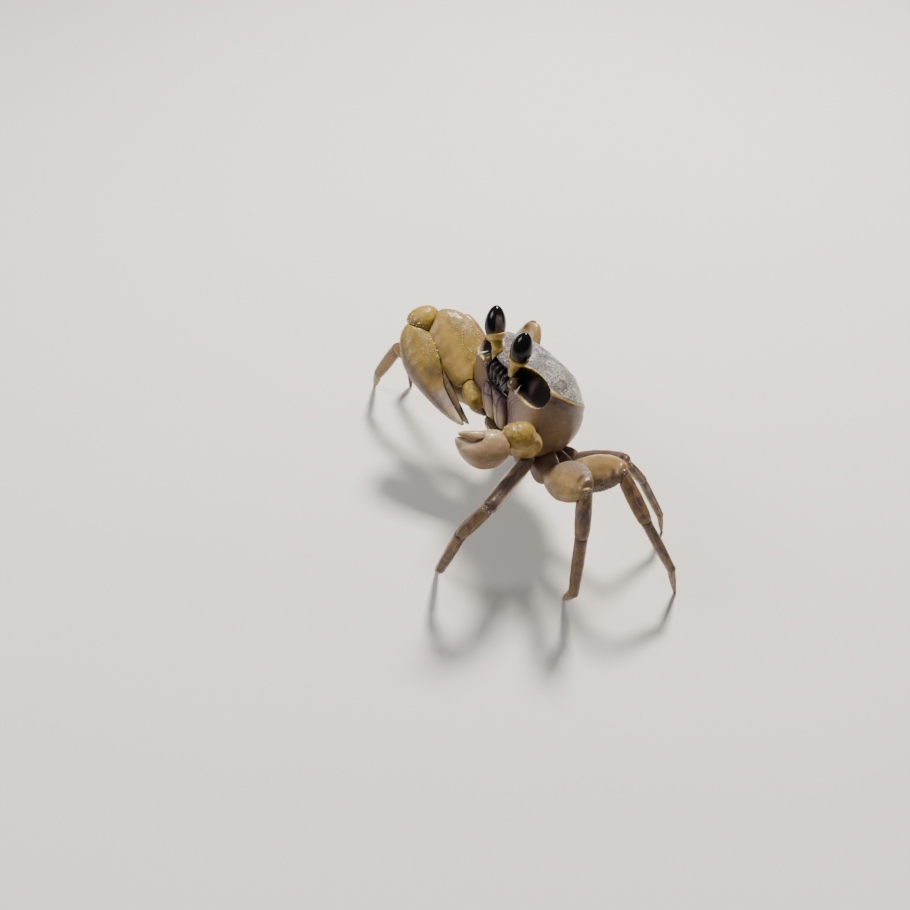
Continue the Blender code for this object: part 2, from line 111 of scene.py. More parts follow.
class CrabColours(PropertyGroup):
    back: tint("Back", "Back of the shell", 0.380, 0.345, 0.345)
    back_dark: tint("Back blotches", "Darker blotches on the back", 0.060, 0.053, 0.053)
    granule: tint("Granules", "Pale granules", 0.860, 0.840, 0.820)
    wall: tint("Side wall", "Smooth sides of the shell", 0.225, 0.138, 0.080)
    wall_light: tint("Side wall, paler", "Paler clouds on the sides", 0.320, 0.215, 0.135)
    wall_olive: tint("Side wall, below", "Olive lower edge of the sides", 0.280, 0.170, 0.070)
    wall_purple: tint("Face", "Purple tint beside the mouth", 0.095, 0.047, 0.062)
    rim: tint("Rims", "Cream edges of the shell", 0.500, 0.310, 0.060)
    rim_light: tint("Rims, paler", "Palest part of the edges", 0.720, 0.560, 0.270)
    # Painted shade: the near black inside of the deep eye sockets.
    socket: tint("Eye sockets", "Inside of the eye sockets", 0.007, 0.004, 0.004)
    belly: tint("Underside", "Underside plates", 0.250, 0.165, 0.090)
    claw: tint("Claws", "Olive yellow of the claws", 0.285, 0.178, 0.022)
    claw_deep: tint("Claws, deeper", "Deeper olive clouds on the claws", 0.140, 0.088, 0.014)
    claw_amber: tint("Claws, amber", "Amber tops of the claws", 0.340, 0.215, 0.034)
    claw_pale: tint("Claw plates", "Cream yellow of the thin plates", 0.370, 0.230, 0.065)
    hand_pale: tint("Small hand", "Pale pink hand of the small claw", 0.320, 0.195, 0.110)
    fingertip: tint("Fingertips", "White ends of the fingers", 0.520, 0.420, 0.300)
    lilac: tint("Lilac", "Lilac grey of the palm's edge and the front", 0.215, 0.165, 0.165)
    leg: tint("Thighs", "Amber of the broad leg pieces", 0.265, 0.165, 0.058)
    leg_pale: tint("Thighs, paler", "Cream upper part of the thighs", 0.420, 0.305, 0.155)
    leg_deep: tint("Legs, deeper", "Deeper clouds on the legs", 0.130, 0.068, 0.025)
    shin: tint("Shins", "Purple brown of the shins", 0.085, 0.045, 0.042)
    shin_side: tint("Shin sides", "Olive yellow sides of the shins", 0.240, 0.135, 0.038)
    toe: tint("Toes", "Amber brown of the last leg piece", 0.165, 0.075, 0.020)
    cornea: tint("Corneas", "Black brown of the eyes", 0.004, 0.003, 0.003)
    stalk: tint("Eyestalks", "Yellow green of the eyestalks", 0.300, 0.205, 0.026)
    bristle: tint("Bristles", "Bristles on the legs", 0.420, 0.270, 0.100)
    floor: tint("Floor", "Plain pale floor", 0.780, 0.750, 0.700)


class CrabBristles(PropertyGroup):
    length: extent("Bristle length", "Length of a bristle", 0.00085)
    thickness: extent("Bristle thickness", "Thickness of a bristle's root", 0.00009)
    rows: IntProperty(
        name="Bristles in a row",
        description="Bristles along one edge of a leg piece",
        default=22,
        min=2,
    )


class CrabStage(PropertyGroup):
    camera_place: spot("Camera place", "Where the camera stands", 0.14460, -0.05943, 0.17122)
    camera_aim: spot("Camera aim", "Point the camera looks at", -0.012234, -0.010823, 0.0)
    lens: amount("Lens", "Focal length on a 36 mm sensor, in millimetres", 38.61)
    key_power: amount("Key light", "Power of the key light in watts", 6.5)
    fill_power: amount("Fill light", "Power of the fill light in watts", 1.2)
    sky: amount("Sky", "Strength of the even light all round", 0.20)


# Working on meshes


def make_active(piece):
    for chosen in list(bpy.context.selected_objects):
        chosen.select_set(False)
    piece.select_set(True)
    bpy.context.view_layer.objects.active = piece


@contextmanager
def editing(piece):
    """Edit mode with the whole piece selected."""
    make_active(piece)
    bpy.ops.object.mode_set(mode="EDIT")
    bpy.ops.mesh.select_all(action="SELECT")
    yield
    bpy.ops.object.mode_set(mode="OBJECT")


def apply_modifier(piece, kind, **settings):
    make_active(piece)
    modifier = piece.modifiers.new(kind.title(), kind)
    for key, value in settings.items():
        setattr(modifier, key, value)
    bpy.ops.object.modifier_apply(modifier=modifier.name)


def new_piece(name, mesh):
    mesh.name = name
    piece = bpy.data.objects.new(name, mesh)
    bpy.context.scene.collection.objects.link(piece)
    return piece


def ball(name, segments, rings):
    """A ball of 1 mm radius."""
    bpy.ops.mesh.primitive_uv_sphere_add(segments=segments, ring_count=rings, radius=MM)
    piece = bpy.context.object
    piece.name = piece.data.name = name
    return piece


def copy_node(name, node):
    """A piece of its own from a CAD node's surface, with the loose triangles merged."""
    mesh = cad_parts[node].data.copy()
    mesh.materials.clear()
    piece = new_piece(name, mesh)
    with editing(piece):
        bpy.ops.mesh.remove_doubles(threshold=WELD)
    return piece


def fill_out(piece, node, samples=1500):
    """Swells a smoothed piece until it is as full as the solid that it dresses."""
    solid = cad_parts[node]
    points, normals = points_of(piece), normals_of(piece)
    step = max(1, len(points) // samples)
    gaps = []
    for point, normal in zip(points[::step], normals[::step]):
        near = solid.closest_point_on_mesh(Vector(point * MM))[1]
        gaps.append(np.dot(np.array(near) / MM - point, normal))
    move_points(piece, points + normals * np.median(gaps))


def smooth(piece, rounds):
    apply_modifier(piece, "SMOOTH", factor=0.5, iterations=rounds)


def fine_form(name, node, rounds, grain=None):
    """A rounded fine copy of a CAD node."""
    grain = grain or bpy.context.scene.crab_body.limb_grain
    piece = copy_node(name, node)
    apply_modifier(piece, "SUBSURF", levels=1, render_levels=1)
    apply_modifier(piece, "REMESH", mode="VOXEL", voxel_size=grain, use_smooth_shade=True)
    smooth(piece, rounds)
    fill_out(piece, node)
    return piece


def read_rows(rows, name):
    flat = np.empty(len(rows) * 3, np.float32)
    rows.foreach_get(name, flat)
    return flat.reshape(-1, 3).astype(float)


def points_of(piece):
    """Vertex positions in mm."""
    return read_rows(piece.data.vertices, "co") / MM


def normals_of(piece):
    return read_rows(piece.data.vertex_normals, "vector")


def move_points(piece, points):
    piece.data.vertices.foreach_set("co", (points * MM).astype(np.float32).ravel())
    piece.data.update()


def press(piece, depth):
    """Moves each vertex in along its normal, mm."""
    move_points(piece, points_of(piece) - normals_of(piece) * depth[:, None])


def paint(piece, **marks):
    """Stores numbers at the vertices, for a material to read."""
    for name, values in marks.items():
        layer = piece.data.attributes.new(name, "FLOAT", "POINT")
        values = np.zeros(len(piece.data.vertices)) + values
        layer.data.foreach_set("value", values.astype(np.float32))


def ramp(low, high, values):
    """0 below low, 1 above high, and a smooth rise between."""
    share = np.clip((values - low) / (high - low), 0, 1)
    return share * share * (3 - 2 * share)


def bump(middle, width, values):
    return np.exp(-(((values - middle) / width) ** 2))


def uneven(points, size, seed=0.0):
    """A gentle repeatable unevenness between -1 and 1, about size mm across."""
    a, b, c = (points / size).T
    first = np.sin(1.7 * a + 2.3 * b + seed) * np.cos(2.1 * c - 1.3 * a + 0.7 * seed)
    second = np.sin(3.1 * b - 2.9 * c + 1.9 * seed) * np.cos(2.7 * a + 1.1 * b)
    return 0.6 * first + 0.4 * second


def body_axes():
    body = bpy.context.scene.crab_body
    return np.array(body.place) / MM, np.array(Euler(body.turn).to_matrix())


def to_body(points):
    """From the floor's axes to the body's own: x to its left, y to its back, z out of its back."""
    place, turn = body_axes()
    return (points - place) @ turn


def from_body_way(ways):
    return np.asarray(ways, float) @ body_axes()[1].T


def from_body(points):
    return from_body_way(points) + body_axes()[0]


def mirrored(sign, path):
    """A path of body points on the left side, or over to the right side for sign -1."""
    return [(sign * x, y, z) for x, y, z in path]


def unit(vector):
    vector = np.asarray(vector, float)
    return vector / np.linalg.norm(vector)


def finish_piece(piece, material, slot, *nodes):
    """Gives a finished piece its material and its place in the model."""
    piece.data.materials.clear()
    piece.data.materials.append(material)
    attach(piece, "root")
    if nodes:
        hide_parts(*nodes)


def scatter(name, template, places):
    """One mesh of many copies of a small mesh: places are (origin, three axes) in mm."""
    corners = points_of(template)
    faces = [tuple(face.vertices) for face in template.data.polygons]
    points = []
    polygons = []
    for origin, axes in places:
        first = len(points)
        points.extend((corners @ axes + origin) * MM)
        polygons.extend(tuple(first + corner for corner in face) for face in faces)
    mesh = bpy.data.meshes.new(name)
    mesh.from_pydata([tuple(point) for point in points], [], polygons)
    mesh.update()
    mesh.shade_smooth()
    return new_piece(name, mesh)


def discard(piece):
    mesh = piece.data
    bpy.data.objects.remove(piece)
    bpy.data.meshes.remove(mesh)


def close_up(piece):
    """Shades a closed form smoothly, with its faces outwards."""
    piece.data.shade_smooth()
    with editing(piece):
        bpy.ops.mesh.normals_make_consistent(inside=False)


def rounded_path(path, rounds=3):
    """A smooth line near the corners of a path, through its two ends."""
    line = np.array(path, float)
    for _ in range(rounds):
        low, high = 0.75 * line[:-1] + 0.25 * line[1:], 0.25 * line[:-1] + 0.75 * line[1:]
        middle = np.stack([low, high], axis=1).reshape(-1, 3)
        line = np.vstack([line[:1], middle[1:-1], line[-1:]])
    return line


def bent_form(name, path, radii, flat, side):
    """A closed rounded form along a curved path in the body's own axes, in mm."""
    piece = ball(name, 20, 30)
    points = points_of(piece)
    turn = np.arccos(np.clip(points[:, 2], -1, 1))
    share = 1 - turn / math.pi
    ring = points[:, :2] / np.maximum(np.sin(turn), 1e-4)[:, None]
    line = rounded_path(path)
    run = np.linspace(0, 1, len(line))
    middle, way = (
        np.array([np.interp(share, run, rows[:, i]) for i in range(3)]).T
        for rows in (line, np.gradient(line, axis=0))
    )
    first = np.cross(way, side)
    first /= np.linalg.norm(first, axis=1)[:, None]
    second = np.cross(first, way)
    second /= np.linalg.norm(second, axis=1)[:, None]
    size = np.interp(share, np.linspace(0, 1, len(radii)), radii)
    size = size * np.sqrt(np.clip(1 - np.abs(2 * share - 1) ** 3, 0, 1))
    offset = first * (ring[:, 0] * size)[:, None] + second * (ring[:, 1] * size * flat)[:, None]
    move_points(piece, from_body(middle + offset))
    close_up(piece)
    return piece


def join_up(name, pieces):
    """Makes one piece of several."""
    make_active(pieces[0])
    for piece in pieces[1:]:
        piece.select_set(True)
    bpy.ops.object.join()
    pieces[0].name = pieces[0].data.name = name
    return pieces[0]


def axes_along(way, side):
    """Rows for x, y and z of a copy whose z runs along way, with x near side."""
    third = unit(way)
    first = unit(np.asarray(side, float) - third * np.dot(side, third))
    return np.array([first, np.cross(third, first), third])


class LimbAxes:
    """Where a limb piece runs: along it, across its height and across its thickness."""

    def __init__(self, points, away_from, outside, face=None):
        self.middle = points.mean(axis=0)
        spread = np.linalg.svd(points - self.middle, full_matrices=False)[2]
        self.along = spread[0]
        if np.dot(self.along, self.middle - away_from) < 0:
            self.along = -self.along
        broad = spread[2] if face is None else face
        self.broad = unit(broad - self.along * np.dot(broad, self.along))
        self.high = np.cross(self.broad, self.along)
        if np.dot(self.high, outside) < 0:
            self.high, self.broad = -self.high, -self.broad
        run = (points - self.middle) @ self.along
        self.start, self.end = run.min(), run.max()
        self.length = self.end - self.start

    def measure(self, points):
        """Share along the piece, angle round it from its upper edge, and distance from its axis."""
        offset = points - self.middle
        share = (offset @ self.along - self.start) / self.length
        high, broad = offset @ self.high, offset @ self.broad
        return share, np.arctan2(broad, high), np.hypot(high, broad)


def turned(angle, middle):
    """How far an angle is from another, with whole turns left out."""
    return np.angle(np.exp(1j * (angle - middle)))


def around(angle, middle, width):
    """1 where an angle is near middle, falling off over width."""
    return np.exp(-((turned(angle, middle) / width) ** 2))


def nearest(measured, share, angle):
    """Index of the surface point nearest to a share along a limb and an angle round it."""
    apart = turned(measured[1], angle)
    return int(np.argmin((2.5 * (measured[0] - share)) ** 2 + (0.5 * apart) ** 2))


# Materials


class Wires:
    """Adds nodes to one node tree."""

    def __init__(self, tree):
        self.tree = tree

    def make(self, kind, inputs, **settings):
        """The outputs of a new node with these settings and inputs."""
        made = self.tree.nodes.new("ShaderNode" + kind)
        for name, value in settings.items():
            setattr(made, name, value)
        for name, value in inputs.items():
            self.feed(made.inputs[name], value)
        return made.outputs

    def feed(self, socket, value):
        """Links or sets a socket. A name is one of the maker's colours, or a painted mark."""
        if isinstance(value, str):
            if socket.type == "RGBA":
                value = getattr(bpy.context.scene.crab_colours, value)
            else:
                value = self.make("Attribute", {}, attribute_name=value)["Fac"]
        if isinstance(value, NodeSocket):
            self.tree.links.new(value, socket)
        elif socket.type == "RGBA":
            socket.default_value = (*value, 1.0)
        else:
            socket.default_value = value

    def mix(self, share, low, high):
        return self.make("Mix", {0: share, 6: low, 7: high}, data_type="RGBA")[2]

    def between(self, value, low, high, to_low=0.0, to_high=1.0):
        inputs = dict(enumerate((value, low, high, to_low, to_high)))
        return self.make("MapRange", inputs, interpolation_type="SMOOTHSTEP")[0]

    def plus(self, first, second):
        return self.make("Math", {0: first, 1: second}, operation="ADD")[0]

    def minus(self, first, second):
        return self.make("Math", {0: first, 1: second}, operation="SUBTRACT")[0]

    def times(self, first, second):
        return self.make("Math", {0: first, 1: second}, operation="MULTIPLY")[0]


class Finish(Wires):
    """Wires a procedural material: colours are laid one over the other as its skin."""

    def __init__(self, name, roughness=0.4, coat=0.0, soft=0.0, soft_depth=0.0012):
        self.material = bpy.data.materials.new(name)
        self.material.use_nodes = True
        super().__init__(self.material.node_tree)
        self.inputs = self.tree.nodes["Principled BSDF"].inputs
        for socket, value in (
            ("Roughness", roughness),
            ("Coat Weight", coat),
            ("Coat Roughness", 0.12),
            ("Specular IOR Level", 0.36),
            ("Subsurface Weight", soft),
            ("Subsurface Scale", soft_depth),
            ("Subsurface Radius", (1.0, 0.62, 0.3)),
        ):
            self.feed_shader(socket, value)
        self.where = self.make("TexCoord", {})["Object"]
        self.skin = None

    def feed_shader(self, name, value):
        self.feed(self.inputs[name], value)

    def lay(self, share, colour, strength=None):
        """Lays a colour over the skin so far."""
        share = share if strength is None else self.times(share, strength)
        self.skin = self.mix(share, self.skin, colour)

    def noise(self, size, detail=3.0, rough=0.55):
        inputs = {"Vector": self.where, "Scale": 1 / size, "Detail": detail, "Roughness": rough}
        return self.make("TexNoise", inputs)["Fac"]

    def blotches(self, size, sharpness=0.14):
        inputs = {"Vector": self.where, "Scale": 1 / size, "Sharpness": sharpness}
        return self.make("Group", inputs, node_tree=blotch_group())[0]

    def cloud(self, size, low, high, sharpness=0.14):
        """Blotches between two values."""
        return self.between(self.blotches(size, sharpness), 0, 1, low, high)

    def granules(self, gap, size=0.42):
        inputs = {"Vector": self.where, "Scale": 1 / gap, "Size": size}
        made = self.make("Group", inputs, node_tree=granule_group())
        return made["Grain"], made["Tone"]

    def gloss(self, size, low, high):
        """Makes the roughness vary in blotches."""
        self.feed_shader("Roughness", self.cloud(size, low, high))

    def relief(self, height, depth, strength=1.0):
        inputs = {"Strength": strength, "Distance": depth, "Height": height}
        self.feed_shader("Normal", self.make("Bump", inputs)["Normal"])

    def done(self):
        self.feed_shader("Base Color", self.skin)
        return self.material


def shared_group(name, inputs, outputs, wire):
    """A node group, made once. The wire function turns its inputs into its outputs."""
    if name in bpy.data.node_groups:
        return bpy.data.node_groups[name]
    tree = bpy.data.node_groups.new(name, "ShaderNodeTree")
    for way, labels in (("INPUT", inputs), ("OUTPUT", outputs)):
        for label in labels:
            kind = "NodeSocketVector" if label == "Vector" else "NodeSocketFloat"
            tree.interface.new_socket(label, in_out=way, socket_type=kind)
    wires = Wires(tree)
    start = tree.nodes.new("NodeGroupInput").outputs
    end = tree.nodes.new("NodeGroupOutput").inputs
    for label, value in zip(outputs, wire(wires, start)):
        wires.feed(end[label], value)
    return tree


def wire_granules(wires, start):
    inputs = {"Vector": start["Vector"], "Scale": start["Scale"], "Randomness": 0.9}
    cells = wires.make("TexVoronoi", inputs)
    grain = wires.between(cells["Distance"], start["Size"], 0.0)
    return grain, wires.make("SeparateColor", {0: cells["Color"]})[0]


def granule_group():
    """Round grains: Grain is 1 in the middle of each, and Tone is a number of its own for each."""
    inputs = ("Vector", "Scale", "Size")
    return shared_group("Shell granules", inputs, ("Grain", "Tone"), wire_granules)


def wire_blotches(wires, start):
    inputs = {"Vector": start["Vector"], "Scale": start["Scale"], "Detail": 4.0}
    low, high = wires.minus(0.5, start["Sharpness"]), wires.plus(0.5, start["Sharpness"])
    return (wires.between(wires.make("TexNoise", inputs)["Fac"], low, high),)


def blotch_group():
    """Soft blotches: 0 to 1, about one over Scale across."""
    inputs = ("Vector", "Scale", "Sharpness")
    return shared_group("Soft blotches", inputs, ("Blotch",), wire_blotches)


def shell_material():
    """Silver granules on the back, smooth brown walls, cream rims, and dark matt sockets whose near
    black is painted shade.
    """
    gap = bpy.context.scene.crab_body.granule_gap
    finish = Finish("Carapace shell", roughness=0.42, coat=0.12, soft=0.04)
    mix, times, between = finish.mix, finish.times, finish.between
    finish.skin = mix(finish.blotches(0.0030, 0.1), "back_dark", "back")
    finish.lay(finish.cloud(0.0075, 0.0, 0.4, 0.1), (0.20, 0.18, 0.115))
    finish.lay("lilac", "lilac", 0.75)
    finish.lay(between(finish.noise(0.0007, 2.0, 0.8), 0.42, 0.60), "back_dark", 0.85)
    grain, tone = finish.granules(gap)
    small, small_tone = finish.granules(0.55 * gap, 0.4)
    finish.lay(times(small, between(small_tone, 0.55, 0.85)), (0.055, 0.05, 0.055), 0.7)
    finish.lay(times(grain, between(tone, 0.20, 0.60)), "granule", 0.92)
    finish.lay(times(finish.granules(0.00075, 0.30)[0], "lilac"), (0.12, 0.085, 0.17), 0.8)
    dorsal = finish.skin
    finish.skin = mix("face", "wall", "wall_purple")
    finish.lay(finish.cloud(0.006, 0.0, 0.4, 0.2), "wall_light")
    finish.lay("belly", "wall_olive")
    fine = finish.noise(0.0007, 4.0)
    finish.lay(between(fine, 0.35, 0.75, 0.0, 0.35), (0.09, 0.062, 0.055))
    # A darker band on the side walls just under the ridge.
    finish.lay("eaves", (0.085, 0.052, 0.040), 0.75)
    # Painted shade in the fine folds beside the mouth.
    finish.lay("fold", (0.045, 0.022, 0.035))
    finish.lay("back", dorsal)
    finish.lay(between("rim", 0.2, 0.7), mix(finish.noise(0.0006), "rim", "rim_light"))
    finish.lay("mouth", (0.012, 0.009, 0.010))
    # Painted shade inside the deep eye sockets: near black, browner towards their tops.
    finish.lay("socket", mix("socket_glow", "socket", (0.050, 0.024, 0.009)))
    dull = between("socket", 0.0, 1.0, 0.40, 1.0)
    finish.feed_shader("Roughness", finish.minus(dull, times("mouth", 0.28)))
    finish.feed_shader("Coat Weight", between("socket", 0.0, 1.0, 0.12, 0.0))
    height = times(finish.plus(grain, times(small, -0.3)), "back")
    height = finish.minus(height, times("fold", 0.6))
    finish.relief(finish.plus(height, times(fine, 0.3)), 0.00024)
    return finish.done()


def claw_material():
    """Olive yellow, cream on the thin plates, lilac below and white at the fingertips."""
    finish = Finish("Claw shell", coat=0.06, soft=0.10, soft_depth=0.0011)
    times, between = finish.times, finish.between
    finish.skin = finish.mix("plate", "claw", "claw_pale")
    finish.lay(finish.cloud(0.0034, 0.0, 0.50), "claw_deep")
    finish.lay(between(finish.noise(0.0007, 4.0), 0.38, 0.70, 0.0, 0.35), "claw_pale")
    finish.lay("amber", "claw_amber")
    finish.lay("lilac", "lilac")
    # Brown: a real brown patch on the large palm, and painted shade over the large claw's movable
    # finger.
    finish.lay("brown", (0.085, 0.055, 0.036))
    finish.lay("pink", "hand_pale")
    grain, tone = finish.granules(0.00046, 0.4)
    finish.lay(times(finish.minus(1.0, grain), "grainy"), (0.17, 0.11, 0.03), 0.35)
    sparkle = times(times(grain, "grainy"), between(tone, 0.3, 0.8))
    finish.lay(sparkle, (0.84, 0.80, 0.58), 0.75)
    dots, dot_tone = finish.granules(0.0042, 0.045)
    finish.lay(times(dots, between(dot_tone, 0.6, 0.7)), (0.05, 0.03, 0.02), 0.8)
    finish.lay("tip", "fingertip")
    finish.gloss(0.0012, 0.32, 0.48)
    height = times(grain, finish.plus(times("grainy", 0.95), 0.04))
    finish.relief(finish.plus(height, times(finish.noise(0.0009), 0.25)), 0.00012, 0.8)
    return finish.done()


def thigh_material():
    """Amber, see-through looking plates with a grey lilac speckled upper edge."""
    finish = Finish("Leg plate", coat=0.12, soft=0.16, soft_depth=0.0014)
    times, between = finish.times, finish.between
    finish.skin = finish.mix(between("along", 0.1, 0.95), "leg_pale", "leg")
    finish.lay(finish.cloud(0.003, 0.0, 0.35), "leg_deep")
    grain, tone = finish.granules(0.0004, 0.4)
    finish.lay("keel", (0.150, 0.112, 0.105), 0.9)
    finish.lay(times(times(grain, "keel"), between(tone, 0.3, 0.8)), "granule", 0.8)
    finish.lay("dusk", "shin")
    finish.lay("joint", (0.045, 0.022, 0.016))
    finish.gloss(0.0012, 0.3, 0.44)
    height = times(grain, finish.plus("keel", 0.06))
    finish.relief(finish.plus(height, times(finish.noise(0.0008), 0.3)), 0.0001, 0.8)
    return finish.done()


def shin_material():
    """Purple brown along the top, olive yellow along the sides, dark at the joints."""
    finish = Finish("Leg shin", coat=0.10, soft=0.08, soft_depth=0.0009)
    times = finish.times
    patch = finish.cloud(0.0019, 0.35, 1.0, 0.12)
    finish.skin = finish.mix(times("upper", patch), "shin_side", "shin")
    finish.lay("toe", "toe")
    finish.lay(finish.cloud(0.0028, 0.0, 0.35), "leg_deep")
    finish.lay("band", (0.032, 0.016, 0.016))
    grain, tone = finish.granules(0.00036, 0.4)
    finish.lay(times(grain, finish.between(tone, 0.6, 0.95)), (0.50, 0.40, 0.31), 0.30)
    finish.lay(times(grain, "knee"), "granule", 0.9)
    finish.lay("tip", (0.10, 0.05, 0.028))
    finish.gloss(0.001, 0.32, 0.46)
    finish.relief(finish.plus(grain, times(finish.noise(0.0002), 0.5)), 0.00006, 0.8)
    return finish.done()


def underside_material():
    """Brown plates, purple beside the mouth, with dark seams."""
    finish = Finish("Underside shell", coat=0.12, soft=0.08)
    finish.skin = finish.mix("face", "belly", "wall_purple")
    finish.lay(finish.cloud(0.0035, 0.0, 0.45), "wall")
    finish.lay("pale", (0.30, 0.20, 0.115))
    finish.lay("seam", (0.03, 0.016, 0.018))
    finish.lay(finish.granules(0.00034, 0.34)[0], (0.55, 0.48, 0.42), 0.14)
    finish.gloss(0.0012, 0.32, 0.48)
    finish.relief(finish.noise(0.0003), 0.00006, 0.6)
    return finish.done()


def cornea_material():
    """Black brown glass with the stalk's skin showing as a strip along its inner side."""
    finish = Finish("Cornea")
    finish.feed_shader("Specular IOR Level", 0.25)
    finish.feed_shader("Coat Roughness", 0.03)
    glow = finish.times("glow", finish.cloud(0.0012, 0.5, 1.0))
    finish.skin = finish.mix(glow, "cornea", (0.045, 0.020, 0.010))
    streak = finish.mix(finish.noise(0.0008), (0.040, 0.028, 0.022), (0.150, 0.115, 0.088))
    finish.lay("strip", streak)
    finish.feed_shader("Roughness", finish.between("strip", 0.0, 1.0, 0.10, 0.34))
    return finish.done()


def stalk_material():
    """Yellow green, greyer towards the tip, with a cream lip."""
    finish = Finish("Eyestalk", coat=0.4, soft=0.1)
    finish.skin = finish.mix("along", "stalk", (0.16, 0.115, 0.085))
    finish.lay(finish.cloud(0.0011, 0.0, 0.6, 0.1), (0.17, 0.115, 0.028))
    finish.lay("lip", "rim")
    finish.gloss(0.001, 0.24, 0.4)
    finish.relief(finish.noise(0.0003), 0.00005, 0.6)
    return finish.done()


def plain_material(
    name, colour, other, roughness=0.3, coat=0.4, soft=0.1, size=0.0012, fine=0.0002
):
    """Two shades of one colour on a small smooth form."""
    finish = Finish(name, roughness, coat, soft)
    finish.skin = finish.mix(finish.blotches(size), colour, other)
    finish.relief(finish.noise(fine, 2.0), 0.00003, 0.5)
    return finish.done()


def bristle_material():
    finish = Finish("Bristles")
    finish.skin = finish.mix(finish.blotches(0.002), "bristle", (0.46, 0.36, 0.22))
    finish.gloss(0.001, 0.42, 0.58)
    return finish.done()


def floor_material():
    finish = Finish("Plain floor", roughness=0.85)
    shade = [0.97 * part for part in bpy.context.scene.crab_colours.floor]
    finish.skin = finish.mix(finish.blotches(0.09, 0.3), "floor", shade)
    return finish.done()


# Carapace


def ridge_height(x, y):
    """Height of the shell's edge above the body's middle, mm."""
    middle = np.clip(1 - (x / 14.0) ** 2, 0, 1)
    front = np.clip(-y / 13.4, 0, 1) ** 3 * middle
    back = np.clip(y / 8.4, 0, 1) ** 2
    return EDGE_SIDE + (EDGE_FRONT - EDGE_SIDE) * front + (EDGE_BACK - EDGE_SIDE) * back


def socket_share(body):
    """1 on the hollow of an eye socket, less inside it and more outside."""
    share = np.empty(len(body))
    for sign in SIDES.values():
        chosen = (body[:, 0] >= 0) == (sign > 0)
        pitch, roll = np.radians(SOCKET_TURN) * (1, sign)
        own = body[chosen] - np.array(SOCKET) * (sign, 1, 1)
        own = own @ np.array(Euler((pitch, roll, 0)).to_matrix())
        share[chosen] = np.linalg.norm(own / SOCKET_HALF, axis=1)
    return share


def cheek_folds(x, y, z, inside):
    """Fine folds that curve from below each eye socket down beside the mouth."""
    across = np.abs(x) - 4.6 - 0.5 * np.clip(z + 4.6, 0, None) ** 1.5
    lines = np.clip(np.cos(across * 2 * math.pi / 0.85), 0, 1) ** 3
    lines *= ramp(-0.3, 0.1, across) * ramp(2.9, 2.2, across)
    return lines * ramp(-9.5, -6.5, z) * ramp(-3.0, -6.0, y) * ramp(1.1, 1.2, inside)


def shell_measures(body):
    """Distance from the middle line, height above the edge, and share of the eye sockets."""
    x, y, z = body.T
    return np.abs(x), z - ridge_height(x, y), socket_share(body)


def shape_shell(piece):
    """The front lobe, the mouth's hollow, sharp side ridges, deep sockets and faint grooves."""
    body = to_body(points_of(piece))
    out = to_body(points_of(piece) + normals_of(piece)) - body
    x, y, z = body.T
    wide, above, inside = shell_measures(body)
    ahead = ramp(-8.0, -10.5, y)
    side = ramp(8.5, 11.0, wide)
    push = 0.42 * bump(0.0, 0.42, above) * side * ramp(4.5, 1.0, y) * ramp(1.0, 1.12, inside)
    push -= 0.22 * bump(-1.15, 0.55, above) * side * ramp(1.1, 1.3, inside)
    push += 0.34 * bump(1.09, 0.075, inside) * ahead
    for sign in SIDES.values():
        groove = bump(sign * (4.6 + 0.16 * y), 0.7, x) * ramp(-7.5, -4.5, y) * ramp(6.5, 4.0, y)
        push -= 0.20 * groove * ramp(3.5, 5.0, z)
    push -= 0.16 * bump(3.2, 0.7, y + 0.05 * x**2) * ramp(6.5, 4.0, wide) * ramp(3.5, 5.0, z)
    push += 0.06 * uneven(body, 2.6) * ramp(0.5, 2.0, z)
    push -= 0.10 * cheek_folds(x, y, z, inside)
    shaped = body + out * push[:, None]
    x, y, z = shaped.T
    wide = np.abs(x)
    lobe = bump(0.0, 1.9, x) * ramp(0.9, 2.4, z) * ramp(6.6, 4.8, z) * ramp(-10.0, -12.0, y)
    cleft = bump(2.95, 0.42, wide) * ramp(0.6, 1.6, z) * ramp(5.2, 4.0, z) * ahead
    hollow = ramp(4.9, 3.7, wide) * ramp(-5.0, -3.6, z) * ramp(1.5, 0.9, z) * ahead
    y += -0.62 * lobe + 0.5 * cleft + 1.6 * hollow
    deep = ramp(-11.6, -9.8, y) * ramp(1.14, 1.02, inside) * ahead
    y += 1.7 * deep
    corner = np.exp(-((np.abs(x) - 14.3) ** 2 + (y + 11.0) ** 2 + (z - 3.4) ** 2) / 1.3**2)
    x += 0.35 * corner * np.sign(x)
    y -= 0.55 * corner
    move_points(piece, from_body(shaped))
    hidden = np.maximum(ahead, ramp(-2.0, -4.0, y) * ramp(0.5, 0.1, out[:, 0] * np.sign(x)))
    return hollow, np.maximum(ramp(1.10, 1.03, inside) * hidden, deep)


